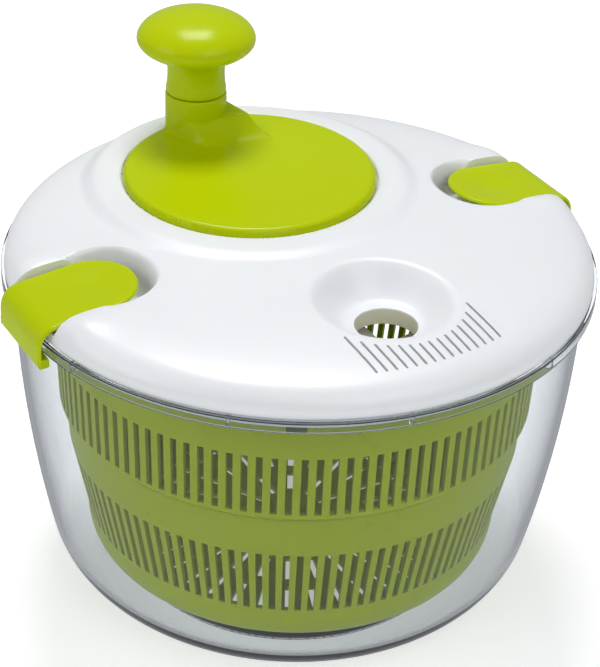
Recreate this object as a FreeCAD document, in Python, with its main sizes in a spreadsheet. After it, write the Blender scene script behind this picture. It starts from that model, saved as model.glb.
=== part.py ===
import FreeCAD, Part
import math
import os
from types import SimpleNamespace

import Sketcher

# A hand-cranked salad spinner: a clear bowl, a slotted basket that turns on a pip in the bowl,
# and a domed lid that carries the crank, its step-up gears and two rocker clamps.
# Millimetres. The origin is the middle of the bowl's foot, +Z is up, the clamps are on +X and -X,
# the crank is toward +Y and the pouring hole toward -Y.

SIZES = {
    # bowl
    "bowl_radius": 120.3,  # outside of the wall, just under the flange
    "rim_height": 150.0,  # plane that the lid's edge sits on
    "bowl_wall": 2.5,
    "bowl_floor": 3.0,
    "bowl_taper": 11.6,  # how much narrower the wall is where it meets the corner
    "bowl_corner": 32.0,  # radius between wall and foot
    "bowl_bulge": 2.8,  # wall radius lost at mid height
    "foot_lift": 0.6,  # foot edge above the table, where only the soft ring touches
    "foot_hollow": 3.4,  # how far the middle of the floor is raised
    "flange_reach": 4.7,
    "flange_depth": 6.0,
    "flange_lip": 2.0,
    "flange_web": 2.4,
    "flange_rib_count": 11,
    "flange_rib_width": 1.2,
    "flange_rib_angle": -99.4,
    "pip_radius": 4.0,
    "pip_height": 17.2,
    "pip_boss_radius": 9.0,
    "pip_boss_height": 8.8,
    # soft ring under the bowl
    "ring_inner": 68.0,
    "ring_width": 8.0,
    "ring_height": 2.6,
    # basket
    "basket_gap": 13.3,  # bowl wall to basket wall at the top
    "basket_drop": 11.0,  # basket top below the lid's edge
    "basket_wall": 2.2,
    "basket_foot": 12.0,
    "basket_shoulder": 1.5,  # taper of the upper part
    "basket_step": 2.7,  # inward step above the plain band
    "band_height": 68.5,
    "band_width": 17.0,
    "lower_taper": 7.6,
    "lower_start": 31.0,
    "basket_corner": 13.5,
    "rim_bead": 1.8,
    "rim_bead_height": 5.5,
    "slot_count": 110,
    "slot_width": 2.8,
    "slot_margin": 1.8,
    "upper_slot_top": 21.0,  # below the basket top
    "floor_slot_width": 3.0,
    "floor_slot_count": 24,
    "notch_count": 6,
    "notch_width": 8.0,
    "notch_depth": 3.6,
    # cover that drives the basket
    "cover_thickness": 2.6,
    "cover_gap": 0.7,
    "cover_ring_width": 6.0,
    "cover_mid_radius": 66.0,
    "cover_hub_radius": 11.0,
    "spoke_count": 6,
    "spoke_width": 7.0,
    "tab_clearance": 0.4,
    # lid
    "lid_overhang": 3.3,  # lid edge beyond the bowl wall
    "lid_wall": 2.4,
    "lid_shoulder": 9.3,  # height of the shoulder above the lid's edge
    "lid_rise": 15.0,  # height of the crown above the lid's edge
    "shoulder_inset": 5.1,
    "plug_depth": 7.0,
    "plug_gap": 1.0,
    "plug_wall": 2.0,
    # funnel and vents
    "dish_offset": 66.0,
    "dish_radius": 28.0,
    "dish_floor": 16.0,
    "dish_depth": 10.5,
    "hole_offset": 69.0,
    "hole_radius": 12.8,
    "vent_count": 15,
    "vent_pitch": 4.0,
    "vent_width": 1.1,
    "vent_inner": 32.5,
    "vent_outer": 111.0,
    # crank and its gear
    "tooth_size": 1.5,  # gear module
    "ring_teeth": 80,
    "pinion_teeth": 20,
    "crank_radius": 55.0,
    "crank_gap": 0.6,
    "crank_top": 18.5,  # above the lid's edge
    "crank_plate": 2.5,
    "crank_hub": 50.0,  # radius of the round opening that the crank turns in
    "crank_fit": 0.08,
    "crank_skirt": 2.4,
    "seat_depth": 2.1,  # ledge below the raised ring
    "raised_rise": 16.0,
    "raised_radius": 67.0,
    "raised_slope": 6.0,
    "rest_angle": 2.25,  # half a tooth of the ring gear
    "web_top": 10.9,
    "web_thickness": 3.6,
    "gear_lift": 0.5,
    "tip_relief": 0.3,
    "screw_radius": 1.5,
    "screw_head": 3.0,
    "gear_screw_place": 43.5,
    # knob
    "post_reach": 48.0,
    "post_radius": 13.7,
    "post_top": 35.6,
    "ramp_top": 27.0,
    "ramp_reach": 19.5,
    "ramp_width": 26.4,
    "spindle_radius": 4.0,
    "knob_fit": 0.06,
    "knob_gap": 0.4,
    "knob_radius": 26.2,
    "knob_equator": 61.0,
    "knob_dome": 11.6,
    "knob_neck": 12.9,
    "knob_wall": 2.6,
    # gear pan and the driving shaft
    "pan_thickness": 2.4,
    "pan_drop": 1.6,
    "pan_radius": 68.3,
    "pan_wall": 2.0,
    "pan_wall_height": 6.0,
    "ear_place": 72.0,
    "ear_radius": 5.0,
    "boss_radius": 3.5,
    "shaft_radius": 6.0,
    "shaft_fit": 0.06,
    "bush_wall": 2.0,
    "bush_flange": 0.6,
    # clamps
    "clamp_width": 38.6,
    "clamp_thickness": 3.0,
    "clamp_tip": 46.1,  # lid edge to the tip of the tongue
    "clamp_side_gap": 0.6,
    "clamp_wall": 2.5,
    "clamp_stand_off": 0.4,
    "clamp_slope": 4.4,
    "clamp_top": 7.0,
    "hook_depth": 4.0,
    "hook_gap": 0.8,
    "hook_bite": 2.0,
    "pin_inset": 3.0,
    "pin_height": 2.6,
    "pin_radius": 1.0,
    "pin_fit": 0.05,
    "pin_half_length": 16.5,
    "lug_radius": 2.2,
    "lug_inner": 9.0,
    "lug_outer": 14.0,
    "lug_gap": 0.35,
    "recess_radius": 21.5,
    "pocket_depth": 3.1,  # floor of the clamp's pocket below the lid's edge
    "ledge_gap": 0.4,
}

doc = FreeCAD.newDocument("salad_spinner")
sheet = doc.addObject("Spreadsheet::Sheet", "Sizes")
for row, (alias, value) in enumerate(SIZES.items(), start=1):
    sheet.set(f"A{row}", alias)
    sheet.set(f"B{row}", str(value))
    sheet.setAlias(f"B{row}", alias)
doc.recompute()


class Size:
    """A size with its value now and the formula that ties it to the sheet."""

    def __init__(self, value, formula):
        self.value = value
        self.formula = formula

    def __add__(self, other):
        return Size(self.value + value_of(other), f"({self.formula} + {formula_of(other)})")

    def __radd__(self, other):
        return self + other

    def __sub__(self, other):
        return Size(self.value - value_of(other), f"({self.formula} - {formula_of(other)})")

    def __rsub__(self, other):
        return Size(value_of(other) - self.value, f"({formula_of(other)} - {self.formula})")

    def __mul__(self, other):
        return Size(self.value * value_of(other), f"({self.formula} * {formula_of(other)})")

    def __rmul__(self, other):
        return self * other

    def __truediv__(self, other):
        return Size(self.value / value_of(other), f"({self.formula} / {formula_of(other)})")

    def __neg__(self):
        return Size(-self.value, f"(-1 * {self.formula})")


def value_of(size):
    return size.value if isinstance(size, Size) else float(size)


def formula_of(size):
    return size.formula if isinstance(size, Size) else f"({size})"


def root(size):
    return Size(math.sqrt(size.value), f"sqrt({size.formula})")


d = SimpleNamespace(**{alias: Size(value, f"Sizes.{alias}") for alias, value in SIZES.items()})

# Places that several pieces share
bowl_inner = d.bowl_radius - d.bowl_wall
corner_centre = d.bowl_radius - d.bowl_taper - d.bowl_corner
flange_radius = d.bowl_radius + d.flange_reach
flange_under = d.rim_height - d.flange_depth
flange_top = d.rim_height - 0.3
lid_radius = d.bowl_radius + d.lid_overhang
plug_outer = bowl_inner - d.plug_gap
plug_inner = plug_outer - d.plug_wall
basket_radius = bowl_inner - d.basket_gap
basket_top = d.rim_height - d.basket_drop
band_top = d.band_height + d.band_width
crank_offset = (d.ring_teeth - d.pinion_teeth) * d.tooth_size / 2
raised_top = d.rim_height + d.raised_rise
seat_top = raised_top - d.seat_depth
crank_top = d.rim_height + d.crank_top
web_top = d.rim_height + d.web_top
web_under = web_top - d.web_thickness
gear_low = d.rim_height + d.gear_lift
pan_top = d.rim_height - d.pan_drop
pan_low = pan_top - d.pan_thickness
bush_low = pan_low - 2.4
cover_low = basket_top - d.cover_thickness
hub_top = bush_low - 0.3
pin_place = lid_radius - d.pin_inset
pin_level = d.rim_height + d.pin_height


# ---- small tools for sketches and features ----


def new_body(label):
    body = doc.addObject("PartDesign::Body", label)
    body.Label = label
    return body


def origin_part(body, role):
    for item in body.Origin.OriginFeatures:
        if item.Role == role:
            return item
    raise RuntimeError(f"no {role} in {body.Label}")


def bind(item, path, size):
    if isinstance(size, Size):
        item.setExpression(path, size.formula)


def new_sketch(body, name, plane="XZ_Plane", offset=0.0):
    """A sketch on one of the body's own planes, moved along the plane's normal by offset."""
    sketch = body.newObject("Sketcher::SketchObject", f"{body.Label}_{name}")
    sketch.AttachmentSupport = [(origin_part(body, plane), "")]
    sketch.MapMode = "FlatFace"
    sketch.AttachmentOffset = FreeCAD.Placement(
        FreeCAD.Vector(0, 0, value_of(offset)), FreeCAD.Rotation()
    )
    bind(sketch, "AttachmentOffset.Base.z", offset)
    return sketch


def place_point(sketch, geometry, end, point):
    """Fixes one sketch point by its two distances from the sketch's origin."""
    for kind, axis, size in (("DistanceX", -2, point[0]), ("DistanceY", -1, point[1])):
        if abs(value_of(size)) < 1e-9:
            sketch.addConstraint(Sketcher.Constraint("PointOnObject", geometry, end, axis))
            continue
        index = sketch.addConstraint(
            Sketcher.Constraint(kind, -1, 1, geometry, end, value_of(size))
        )
        bind(sketch, f"Constraints[{index}]", size)


def arc_through(start, via, end):
    """The arc over three points, always anticlockwise, and whether it then starts at 'start'."""
    ax, ay = via.x - start.x, via.y - start.y
    bx, by = end.x - start.x, end.y - start.y
    cross = 2 * (ax * by - ay * bx)
    a_square = ax * ax + ay * ay
    b_square = bx * bx + by * by
    centre = FreeCAD.Vector(
        start.x + (by * a_square - ay * b_square) / cross,
        start.y + (ax * b_square - bx * a_square) / cross,
        0,
    )
    forward = cross > 0
    first, last = (start, end) if forward else (end, start)
    begin = math.atan2(first.y - centre.y, first.x - centre.x)
    finish = math.atan2(last.y - centre.y, last.x - centre.x)
    if finish < begin:
        finish += 2 * math.pi
    ring = Part.Circle(centre, FreeCAD.Vector(0, 0, 1), (start - centre).Length)
    return Part.ArcOfCircle(ring, begin, finish), forward


def dome_crest(start, end):
    """A middle point of the arc between two points whose centre is on the upright axis."""
    drop = start.y - end.y
    level = (start.x**2 + start.y**2 - end.x**2 - end.y**2) / (2 * drop)
    middle = (start + end) / 2 - FreeCAD.Vector(0, level, 0)
    reach = math.hypot(start.x, start.y - level)
    return middle * (reach / middle.Length) + FreeCAD.Vector(0, level, 0)


def outline(sketch, points):
    """A closed outline. A point is (x, y), (x, y, via_x, via_y) for an arc that ends there,

    or (x, y, "dome") for an arc that ends there and has its centre on the upright axis.
    """
    ends = [FreeCAD.Vector(value_of(p[0]), value_of(p[1]), 0) for p in points]
    edges = []
    tails = []
    for index, point in enumerate(points):
        start = ends[index - 1]
        forward = True
        if len(point) == 4:
            via = FreeCAD.Vector(value_of(point[2]), value_of(point[3]), 0)
            edge, forward = arc_through(start, via, ends[index])
        elif len(point) == 3:
            edge, forward = arc_through(start, dome_crest(start, ends[index]), ends[index])
        else:
            edge = Part.LineSegment(start, ends[index])
        edges.append(edge)
        tails.append(2 if forward else 1)
    indices = sketch.addGeometry(edges, False)
    for index, geometry in enumerate(indices):
        following = (index + 1) % len(indices)
        head = 3 - tails[following]
        joint = Sketcher.Constraint("Coincident", geometry, tails[index], indices[following], head)
        sketch.addConstraint(joint)
        place_point(sketch, geometry, tails[index], points[index])
    for index, point in enumerate(points):
        if len(point) == 4:
            via = FreeCAD.Vector(value_of(point[2]), value_of(point[3]), 0)
            mark = sketch.addGeometry(Part.Point(via), True)
            sketch.addConstraint(Sketcher.Constraint("PointOnObject", mark, 1, indices[index]))
            place_point(sketch, mark, 1, point[2:])
        elif len(point) == 3:
            sketch.addConstraint(Sketcher.Constraint("PointOnObject", indices[index], 3, -2))


def rectangle(sketch, low_x, low_y, high_x, high_y):
    outline(sketch, [(low_x, low_y), (high_x, low_y), (high_x, high_y), (low_x, high_y)])


def circle(sketch, x, y, radius):
    centre = FreeCAD.Vector(value_of(x), value_of(y), 0)
    ring = Part.Circle(centre, FreeCAD.Vector(0, 0, 1), value_of(radius))
    geometry = sketch.addGeometry(ring, False)
    index = sketch.addConstraint(Sketcher.Constraint("Radius", geometry, value_of(radius)))
    bind(sketch, f"Constraints[{index}]", radius)
    place_point(sketch, geometry, 3, (x, y))


def feature(body, kind, sketch, name):
    item = body.newObject(f"PartDesign::{kind}", f"{body.Label}_{name}")
    item.Profile = sketch
    item.Refine = False
    return item


def turn(body, sketch, name, kind="Revolution", angle=360.0):
    """Turns a profile about the sketch's own upright axis, half the angle to each side."""
    item = feature(body, kind, sketch, name)
    item.ReferenceAxis = (sketch, ["V_Axis"])
    item.Angle = angle
    item.Midplane = angle < 360.0
    return item


def pad(body, sketch, name, length, both=False, kind="Pad", flip=False):
    item = feature(body, kind, sketch, name)
    item.Length = value_of(length)
    bind(item, "Length", length)
    item.Midplane = both
    item.Reversed = flip
    return item


def around(body, item, name, count):
    """Repeats a feature evenly round the body's own upright axis."""
    pattern = body.newObject("PartDesign::PolarPattern", f"{body.Label}_{name}")
    pattern.Originals = [item]
    pattern.Axis = (origin_part(body, "Z_Axis"), [""])
    pattern.Angle = 360.0
    pattern.Occurrences = int(value_of(count))
    bind(pattern, "Occurrences", count)
    pattern.Refine = False
    body.Tip = pattern
    return pattern


def turned_body(label, points, offset=0.0):
    """A round piece from one half-section."""
    body = new_body(label)
    sketch = new_sketch(body, "section", offset=offset)
    outline(sketch, points)
    turn(body, sketch, "turned")
    return body


def disc_between(body, name, x, y, radius, low, high, kind="Pad"):
    """A round pad or pocket between two heights."""
    sketch = new_sketch(body, f"{name}_circle", "XY_Plane", low)
    circle(sketch, x, y, radius)
    return pad(body, sketch, name, high - low, kind=kind, flip=kind == "Pocket")


def set_place(item, x=0.0, y=0.0, z=0.0, angle=0.0):
    turned = FreeCAD.Rotation(FreeCAD.Vector(0, 0, 1), value_of(angle))
    where = FreeCAD.Vector(value_of(x), value_of(y), value_of(z))
    item.Placement = FreeCAD.Placement(where, turned)
    for path, size in (("Base.x", x), ("Base.y", y), ("Base.z", z), ("Rotation.Angle", angle)):
        bind(item, f"Placement.{path}", size)


def boolean(kind, label, base, tools):
    """Cuts the tools from the base, or joins them to it."""
    tool = tools[0]
    if len(tools) > 1:
        tool = doc.addObject("Part::MultiFuse", f"{label}_tools")
        tool.Shapes = tools
        tool.Refine = False
    item = doc.addObject(f"Part::{kind}", label)
    item.Label = label
    item.Base = base
    item.Tool = tool
    item.Refine = False
    return item


nodes = {}


def keep(item):
    nodes[item.Label] = item
    return item


def cosine(angle):
    return Size(math.cos(math.radians(value_of(angle))), f"cos({formula_of(angle)})")


def sine(angle):
    return Size(math.sin(math.radians(value_of(angle))), f"sin({formula_of(angle)})")


# ---- bowl ----


def bowl_wall(inset):
    """The wall's curve and the corner's, at a depth inside the outer face, from the top down."""
    radius = d.bowl_corner - inset
    middle = d.foot_lift + d.bowl_corner
    return [
        (d.bowl_radius - inset, flange_under - 1),
        (
            corner_centre + radius * 0.98,
            middle - radius * 0.19,
            d.bowl_radius - inset - d.bowl_bulge,
            d.rim_height * 0.58,
        ),
    ]


def make_bowl():
    middle = d.foot_lift + d.bowl_corner
    floor_under = d.foot_lift + d.foot_hollow
    floor = floor_under + d.bowl_floor
    ring_outer = d.ring_inner + d.ring_width
    outer_top, outer_corner = bowl_wall(0.0)
    inner_top, inner_corner = bowl_wall(d.bowl_wall)
    inner_radius = d.bowl_corner - d.bowl_wall
    web_under_flange = flange_top - d.flange_web
    points = [
        (0, floor_under),
        (d.ring_inner - 4, floor_under),
        (d.ring_inner - 1.5, d.foot_lift),
        (d.ring_inner, d.foot_lift),
        (d.ring_inner, d.ring_height),
        (ring_outer, d.ring_height),
        (ring_outer, d.foot_lift),
        (corner_centre, d.foot_lift),
        outer_corner[:2]
        + (corner_centre + d.bowl_corner * 0.643, middle - d.bowl_corner * 0.766),
        outer_top + outer_corner[2:],
        (d.bowl_radius, web_under_flange),
        (flange_radius - d.flange_lip, web_under_flange),
        (flange_radius - d.flange_lip, flange_under),
        (flange_radius, flange_under),
        (flange_radius, flange_top),
        (bowl_inner, flange_top),
        inner_top,
        inner_corner,
        (corner_centre + 4, floor, corner_centre + inner_radius * 0.73, middle - inner_radius * 0.66),
        (d.pip_boss_radius + 3, floor),
        (d.pip_boss_radius, d.pip_boss_height),
        (d.pip_radius, d.pip_boss_height),
        (d.pip_radius, d.pip_height - 1),
        (d.pip_radius - 1, d.pip_height),
        (0, d.pip_height),
    ]
    body = turned_body("bowl", points)
    sketch = new_sketch(body, "rib")
    rectangle(
        sketch,
        d.bowl_radius - 0.5,
        flange_under - 0.6,
        flange_radius - d.flange_lip + 0.3,
        web_under_flange + 0.5,
    )
    rib = pad(body, sketch, "rib_pad", d.flange_rib_width, both=True)
    around(body, rib, "ribs", d.flange_rib_count)
    set_place(body, angle=d.flange_rib_angle)
    return keep(body)


def make_soft_ring():
    outer = d.ring_inner + d.ring_width
    return keep(
        turned_body(
            "anti_slip_ring",
            [
                (d.ring_inner, 0.5),
                (d.ring_inner + 0.5, 0),
                (outer - 0.5, 0),
                (outer, 0.5),
                (outer, d.ring_height),
                (d.ring_inner, d.ring_height),
            ],
        )
    )


# ---- basket ----


def make_basket():
    wall = d.basket_wall
    upper = basket_radius - d.basket_shoulder
    band = upper - d.basket_step
    band_low = band - 1
    lower = band - d.lower_taper - 1
    foot = lower - d.basket_corner
    foot_top = d.basket_foot + wall
    bead_low = basket_top - d.rim_bead_height
    hub = d.pip_radius + 4.5
    bore = d.pip_radius + d.shaft_fit
    rise = d.lower_start - d.basket_foot
    step_top = band_top + 3
    points = [
        (bore, d.basket_foot - 2.5),
        (hub, d.basket_foot - 2.5),
        (hub, d.basket_foot),
        (foot, d.basket_foot),
        (lower, d.lower_start, lower - d.basket_corner * 0.27, d.basket_foot + rise * 0.3),
        (band_low, d.band_height),
        (band, band_top),
        (upper, step_top),
        (basket_radius, bead_low),
        (basket_radius + d.rim_bead, bead_low + 1),
        (basket_radius + d.rim_bead, basket_top),
        (basket_radius - wall, basket_top),
        (basket_radius - wall, bead_low),
        (upper - wall, step_top + 0.6),
        (band - wall, band_top + 0.6),
        (band_low - wall, d.band_height),
        (lower - wall, d.lower_start),
        (foot, foot_top, lower - wall - d.basket_corner * 0.25, foot_top + rise * 0.26),
        (hub, foot_top),
        (hub, d.pip_height + 3),
        (0, d.pip_height + 3),
        (0, d.pip_height + 0.3),
        (bore, d.pip_height + 0.3),
    ]
    body = turned_body("basket", points)

    def wall_cut(name, low_x, low_z, high_x, high_z, width, count):
        sketch = new_sketch(body, name)
        rectangle(sketch, low_x, low_z, high_x, high_z)
        cut = pad(body, sketch, f"{name}_cut", width, both=True, kind="Pocket")
        around(body, cut, f"{name}_all", count)

    wall_cut(
        "upper_slot",
        upper - wall - 3,
        step_top + d.slot_margin,
        basket_radius + 1,
        basket_top - d.upper_slot_top,
        d.slot_width,
        d.slot_count,
    )
    wall_cut(
        "lower_slot",
        lower - wall - 2,
        d.lower_start + d.slot_margin,
        band + 1,
        d.band_height - d.slot_margin,
        d.slot_width,
        d.slot_count,
    )
    wall_cut(
        "notch",
        basket_radius - wall - 1,
        basket_top - d.notch_depth,
        basket_radius + d.rim_bead + 1,
        basket_top + 1,
        d.notch_width,
        d.notch_count,
    )
    room = (foot - 4 - hub - 6) / 3
    for ring in range(3):
        start = hub + 6 + room * ring
        sketch = new_sketch(body, f"floor_slot{ring}", "XY_Plane", d.basket_foot - 1)
        half = d.floor_slot_width / 2
        rectangle(sketch, start, -half, start + room - 5, half)
        cut = pad(body, sketch, f"floor_cut{ring}", wall + 2, kind="Pocket", flip=True)
        around(body, cut, f"floor_all{ring}", d.floor_slot_count / 2 * (ring + 1))
    return keep(body)


# ---- cover that drives the basket ----


def make_cover():
    body = new_body("basket_cover")
    radius = basket_radius - d.basket_wall - d.cover_gap
    disc_between(body, "plate", 0, 0, radius, cover_low, basket_top)
    disc_between(body, "hub", 0, 0, d.cover_hub_radius, cover_low - 2, hub_top)
    half = d.spoke_width / 2

    def window(name, inner, outer, count):
        lean = Size(180 / count.value, f"(180 / {count.formula})")
        corners = []
        for reach, side in ((inner, -1), (outer, -1), (outer, 1), (inner, 1)):
            along = root(reach * reach - half * half)
            x = cosine(lean) * along + sine(lean) * half
            y = (sine(lean) * along - cosine(lean) * half) * side
            corners.append((x, y))
        sketch = new_sketch(body, name, "XY_Plane", cover_low - 1)
        near_low, far_low, far_high, near_high = corners
        outline(sketch, [near_low + (inner, 0), far_low, far_high + (outer, 0), near_high])
        cut = pad(body, sketch, f"{name}_cut", d.cover_thickness + 2, kind="Pocket", flip=True)
        around(body, cut, f"{name}_all", count)

    mid_half = d.cover_ring_width / 2
    window("inner_window", d.cover_hub_radius + 4, d.cover_mid_radius - mid_half, d.spoke_count)
    window(
        "outer_window",
        d.cover_mid_radius + mid_half,
        radius - d.cover_ring_width,
        d.spoke_count * 2,
    )
    sketch = new_sketch(body, "tab")
    rectangle(sketch, radius - 1, cover_low, basket_radius + 0.8, basket_top)
    tab = pad(body, sketch, "tab_pad", d.notch_width - d.tab_clearance * 2, both=True)
    around(body, tab, "tabs", d.notch_count)
    disc_between(body, "socket", 0, 0, d.shaft_radius + 0.02, cover_low + 1, hub_top + 1, "Pocket")
    disc_between(body, "screw_hole", 0, 0, 2.1, cover_low - 3, cover_low + 2, "Pocket")
    return keep(body)


def make_drive_fasteners():
    low = cover_low - 2
    washer = turned_body("drive_washer", [(2.1, low), (2.1, low - 0.8), (5.5, low - 0.8), (5.5, low)])
    head = low - 0.8
    screw = turned_body(
        "drive_screw",
        [
            (0, head - 1.2),
            (1.6, head - 1.2),
            (1.6, head - 2.4),
            (3, head - 2.4),
            (3.6, head - 1.8),
            (3.6, head),
            (1.9, head),
            (1.9, head + 12),
            (0, head + 12.8),
        ],
    )
    keep(washer)
    keep(screw)


# ---- gears ----


def tooth_points(pitch, side):
    """One straight-sided tooth; side is 1 for teeth that point outward and -1 for inward."""
    half = d.tooth_size * 0.565
    base = pitch - side * d.tooth_size * 1.35
    tip = pitch + side * d.tooth_size * 0.8
    wide = half + d.tooth_size * 0.49
    narrow = half - d.tooth_size * 0.29
    return [(base, -wide), (tip, -narrow), (tip, narrow), (base, wide)]


def add_teeth(body, pitch, side, low, high, count):
    sketch = new_sketch(body, "tooth", "XY_Plane", low)
    outline(sketch, tooth_points(pitch, side))
    tooth = pad(body, sketch, "tooth_pad", high - low)
    around(body, tooth, "teeth", count)


def make_pinion():
    pitch = d.pinion_teeth * d.tooth_size / 2
    rim = pitch - d.tooth_size * 1.2
    low = gear_low + d.tip_relief
    high = web_under - 0.5
    points = [
        (1.9, cover_low + 1.1),
        (d.shaft_radius - 0.6, cover_low + 1.1),
        (d.shaft_radius, cover_low + 1.7),
        (d.shaft_radius, pan_top + d.bush_flange + 0.3),
        (d.shaft_radius + 2, pan_top + d.bush_flange + 0.3),
        (d.shaft_radius + 2, low),
        (rim, low),
        (rim, high),
        (0, high),
        (0, cover_low + 13),
        (1.9, cover_low + 12),
    ]
    body = turned_body("drive_pinion", points)
    add_teeth(body, pitch, 1, low, high, d.pinion_teeth)
    return keep(body)


def make_ring_gear():
    pitch = d.ring_teeth * d.tooth_size / 2
    rim = pitch + d.tooth_size * 1.2
    outer = rim + 3.7
    inner = d.gear_screw_place - 4
    points = [
        (inner, web_under),
        (rim, web_under),
        (rim, gear_low),
        (outer, gear_low),
        (outer, web_top),
        (inner, web_top),
    ]
    body = turned_body("ring_gear", points)
    add_teeth(body, pitch, -1, gear_low, web_under, d.ring_teeth)
    for name, radius, low, high in (
        ("screw_hole", d.screw_radius + 0.15, web_under - 1, web_top + 1),
        ("head_hole", d.screw_head + 0.2, web_under - 1, web_under + 2.2),
    ):
        hole = disc_between(body, name, d.gear_screw_place, 0, radius, low, high, "Pocket")
        around(body, hole, f"{name}s", 4)
    set_place(body, y=crank_offset, angle=d.rest_angle)
    return keep(body)


def screw_outline(under, head_down, shank, length):
    """Half-section of a small screw whose head hangs below the level 'under'."""
    return [
        (0, under - head_down + 1),
        (1.2, under - head_down + 1),
        (1.2, under - head_down),
        (d.screw_head - 0.5, under - head_down),
        (d.screw_head, under - head_down + 0.5),
        (d.screw_head, under),
        (shank, under),
        (shank, under + length),
        (0, under + length + 1),
    ]


def screw_set(label, spots, under, head_down, length, **place):
    """Identical screws at several spots, as separate solids of one node."""
    copies = []
    for index, (x, y) in enumerate(spots):
        name = f"{label}_{index}"
        body = turned_body(name, screw_outline(under, head_down, d.screw_radius, length))
        set_place(body, x=x, y=y)
        copies.append(body)
    group = doc.addObject("Part::Compound", label)
    group.Label = label
    group.Links = copies
    if place:
        set_place(group, **place)
    return keep(group)


def make_gear_screws():
    reach = d.gear_screw_place
    spots = [(reach, 0), (0, reach), (-reach, 0), (0, -reach)]
    screw_set(
        "ring_gear_screws",
        spots,
        web_under + 2.2,
        2.0,
        7.0,
        y=crank_offset,
        angle=d.rest_angle,
    )


# ---- crank and knob ----


def make_crank():
    under = crank_top - d.crank_plate
    skirt_outer = d.crank_hub - d.crank_fit
    skirt_inner = skirt_outer - d.crank_skirt
    lip = d.crank_radius - 2.2
    lip_low = seat_top + 0.4
    points = [
        (0, under),
        (skirt_inner, under),
        (skirt_inner, web_top),
        (skirt_outer, web_top),
        (skirt_outer, under),
        (lip, under),
        (lip, lip_low),
        (d.crank_radius, lip_low),
        (d.crank_radius, crank_top - 1.5),
        (d.crank_radius - 1.5, crank_top, d.crank_radius - 0.44, crank_top - 0.44),
        (0, crank_top + 0.6),
    ]
    body = turned_body("crank_disc", points)
    screw_boss = d.screw_head + 0.2
    boss = disc_between(body, "boss", d.gear_screw_place, 0, screw_boss, web_top, under + 0.5)
    around(body, boss, "bosses", 4)
    sketch = new_sketch(body, "ramp", "YZ_Plane")
    outline(
        sketch,
        [
            (d.post_reach, crank_top - 1),
            (d.post_reach, d.rim_height + d.ramp_top),
            (d.post_reach - d.ramp_reach, crank_top + 0.3),
            (d.post_reach - d.ramp_reach, crank_top - 1),
        ],
    )
    pad(body, sketch, "ramp_pad", d.ramp_width, both=True)
    post_top = d.rim_height + d.post_top
    disc_between(body, "post", 0, d.post_reach, d.post_radius, raised_top + 0.4, post_top)
    bore_low = crank_top + 2
    disc_between(body, "post_bore", 0, d.post_reach, d.spindle_radius, bore_low, post_top + 1, "Pocket")
    pilot = disc_between(
        body, "pilot", d.gear_screw_place, 0, d.screw_radius, web_top - 1, web_top + 4.9, "Pocket"
    )
    around(body, pilot, "pilots", 4)
    set_place(body, y=crank_offset, angle=d.rest_angle)
    return keep(body)


def make_knob():
    seam = d.rim_height + d.post_top + d.knob_gap
    equator = d.rim_height + d.knob_equator
    stem_top = seam + 14.5
    bearing_top = equator - 4
    bore = d.spindle_radius + d.knob_fit
    inner = d.knob_radius - d.knob_wall
    flare = equator - stem_top
    place = {
        "x": -d.post_reach * sine(d.rest_angle),
        "y": crank_offset + d.post_reach * cosine(d.rest_angle),
    }
    body = turned_body(
        "knob_body",
        [
            (bore, seam),
            (d.knob_neck, seam),
            (d.knob_neck, stem_top),
            (
                d.knob_radius - 0.8,
                equator - 2.4,
                d.knob_neck + 4.7,
                stem_top + flare * 0.22,
            ),
            (d.knob_radius, equator - 0.6),
            (d.knob_radius, equator),
            (inner, equator),
            (inner - 0.6, equator - 2),
            (d.knob_neck + 1, equator - 6),
            (bore + 5, equator - 6),
            (bore + 5, bearing_top),
            (bore, bearing_top),
        ],
    )
    cap = turned_body(
        "knob_cap",
        [
            (inner, equator + 0.05),
            (d.knob_radius, equator + 0.05),
            (
                d.knob_radius * 0.72,
                equator + d.knob_dome * 0.71,
                d.knob_radius * 0.935,
                equator + d.knob_dome * 0.385,
            ),
            (0, equator + d.knob_dome, "dome"),
            (0, equator + d.knob_dome - d.knob_wall),
            (inner, equator + 1.2, "dome"),
        ],
    )
    top = bearing_top + 0.3
    spindle = turned_body(
        "knob_spindle",
        [
            (0, crank_top + 2),
            (d.spindle_radius, crank_top + 2),
            (d.spindle_radius, top),
            (1.5, top),
            (1.5, top - 11),
            (0, top - 12),
        ],
    )
    washer = turned_body("knob_washer", [(1.6, top), (7.5, top), (7.5, top + 1), (1.6, top + 1)])
    head = top + 1
    screw = turned_body(
        "knob_screw",
        [
            (0, head - 11),
            (1.5, head - 10),
            (1.5, head),
            (3.4, head),
            (3.4, head + 1.2),
            (2.6, head + 2),
            (1.3, head + 2),
            (1.3, head + 0.9),
            (0, head + 0.9),
        ],
    )
    for item in (body, cap, spindle, washer, screw):
        set_place(item, angle=d.rest_angle, **place)
        keep(item)


# ---- gear pan under the lid ----

EAR_ANGLES = (-60, 0, 35, 145, 180, 240)


def ear_spots():
    """Where the pan is screwed on, from the crank's axis."""
    return [(d.ear_place * cosine(a), d.ear_place * sine(a)) for a in EAR_ANGLES]


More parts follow.
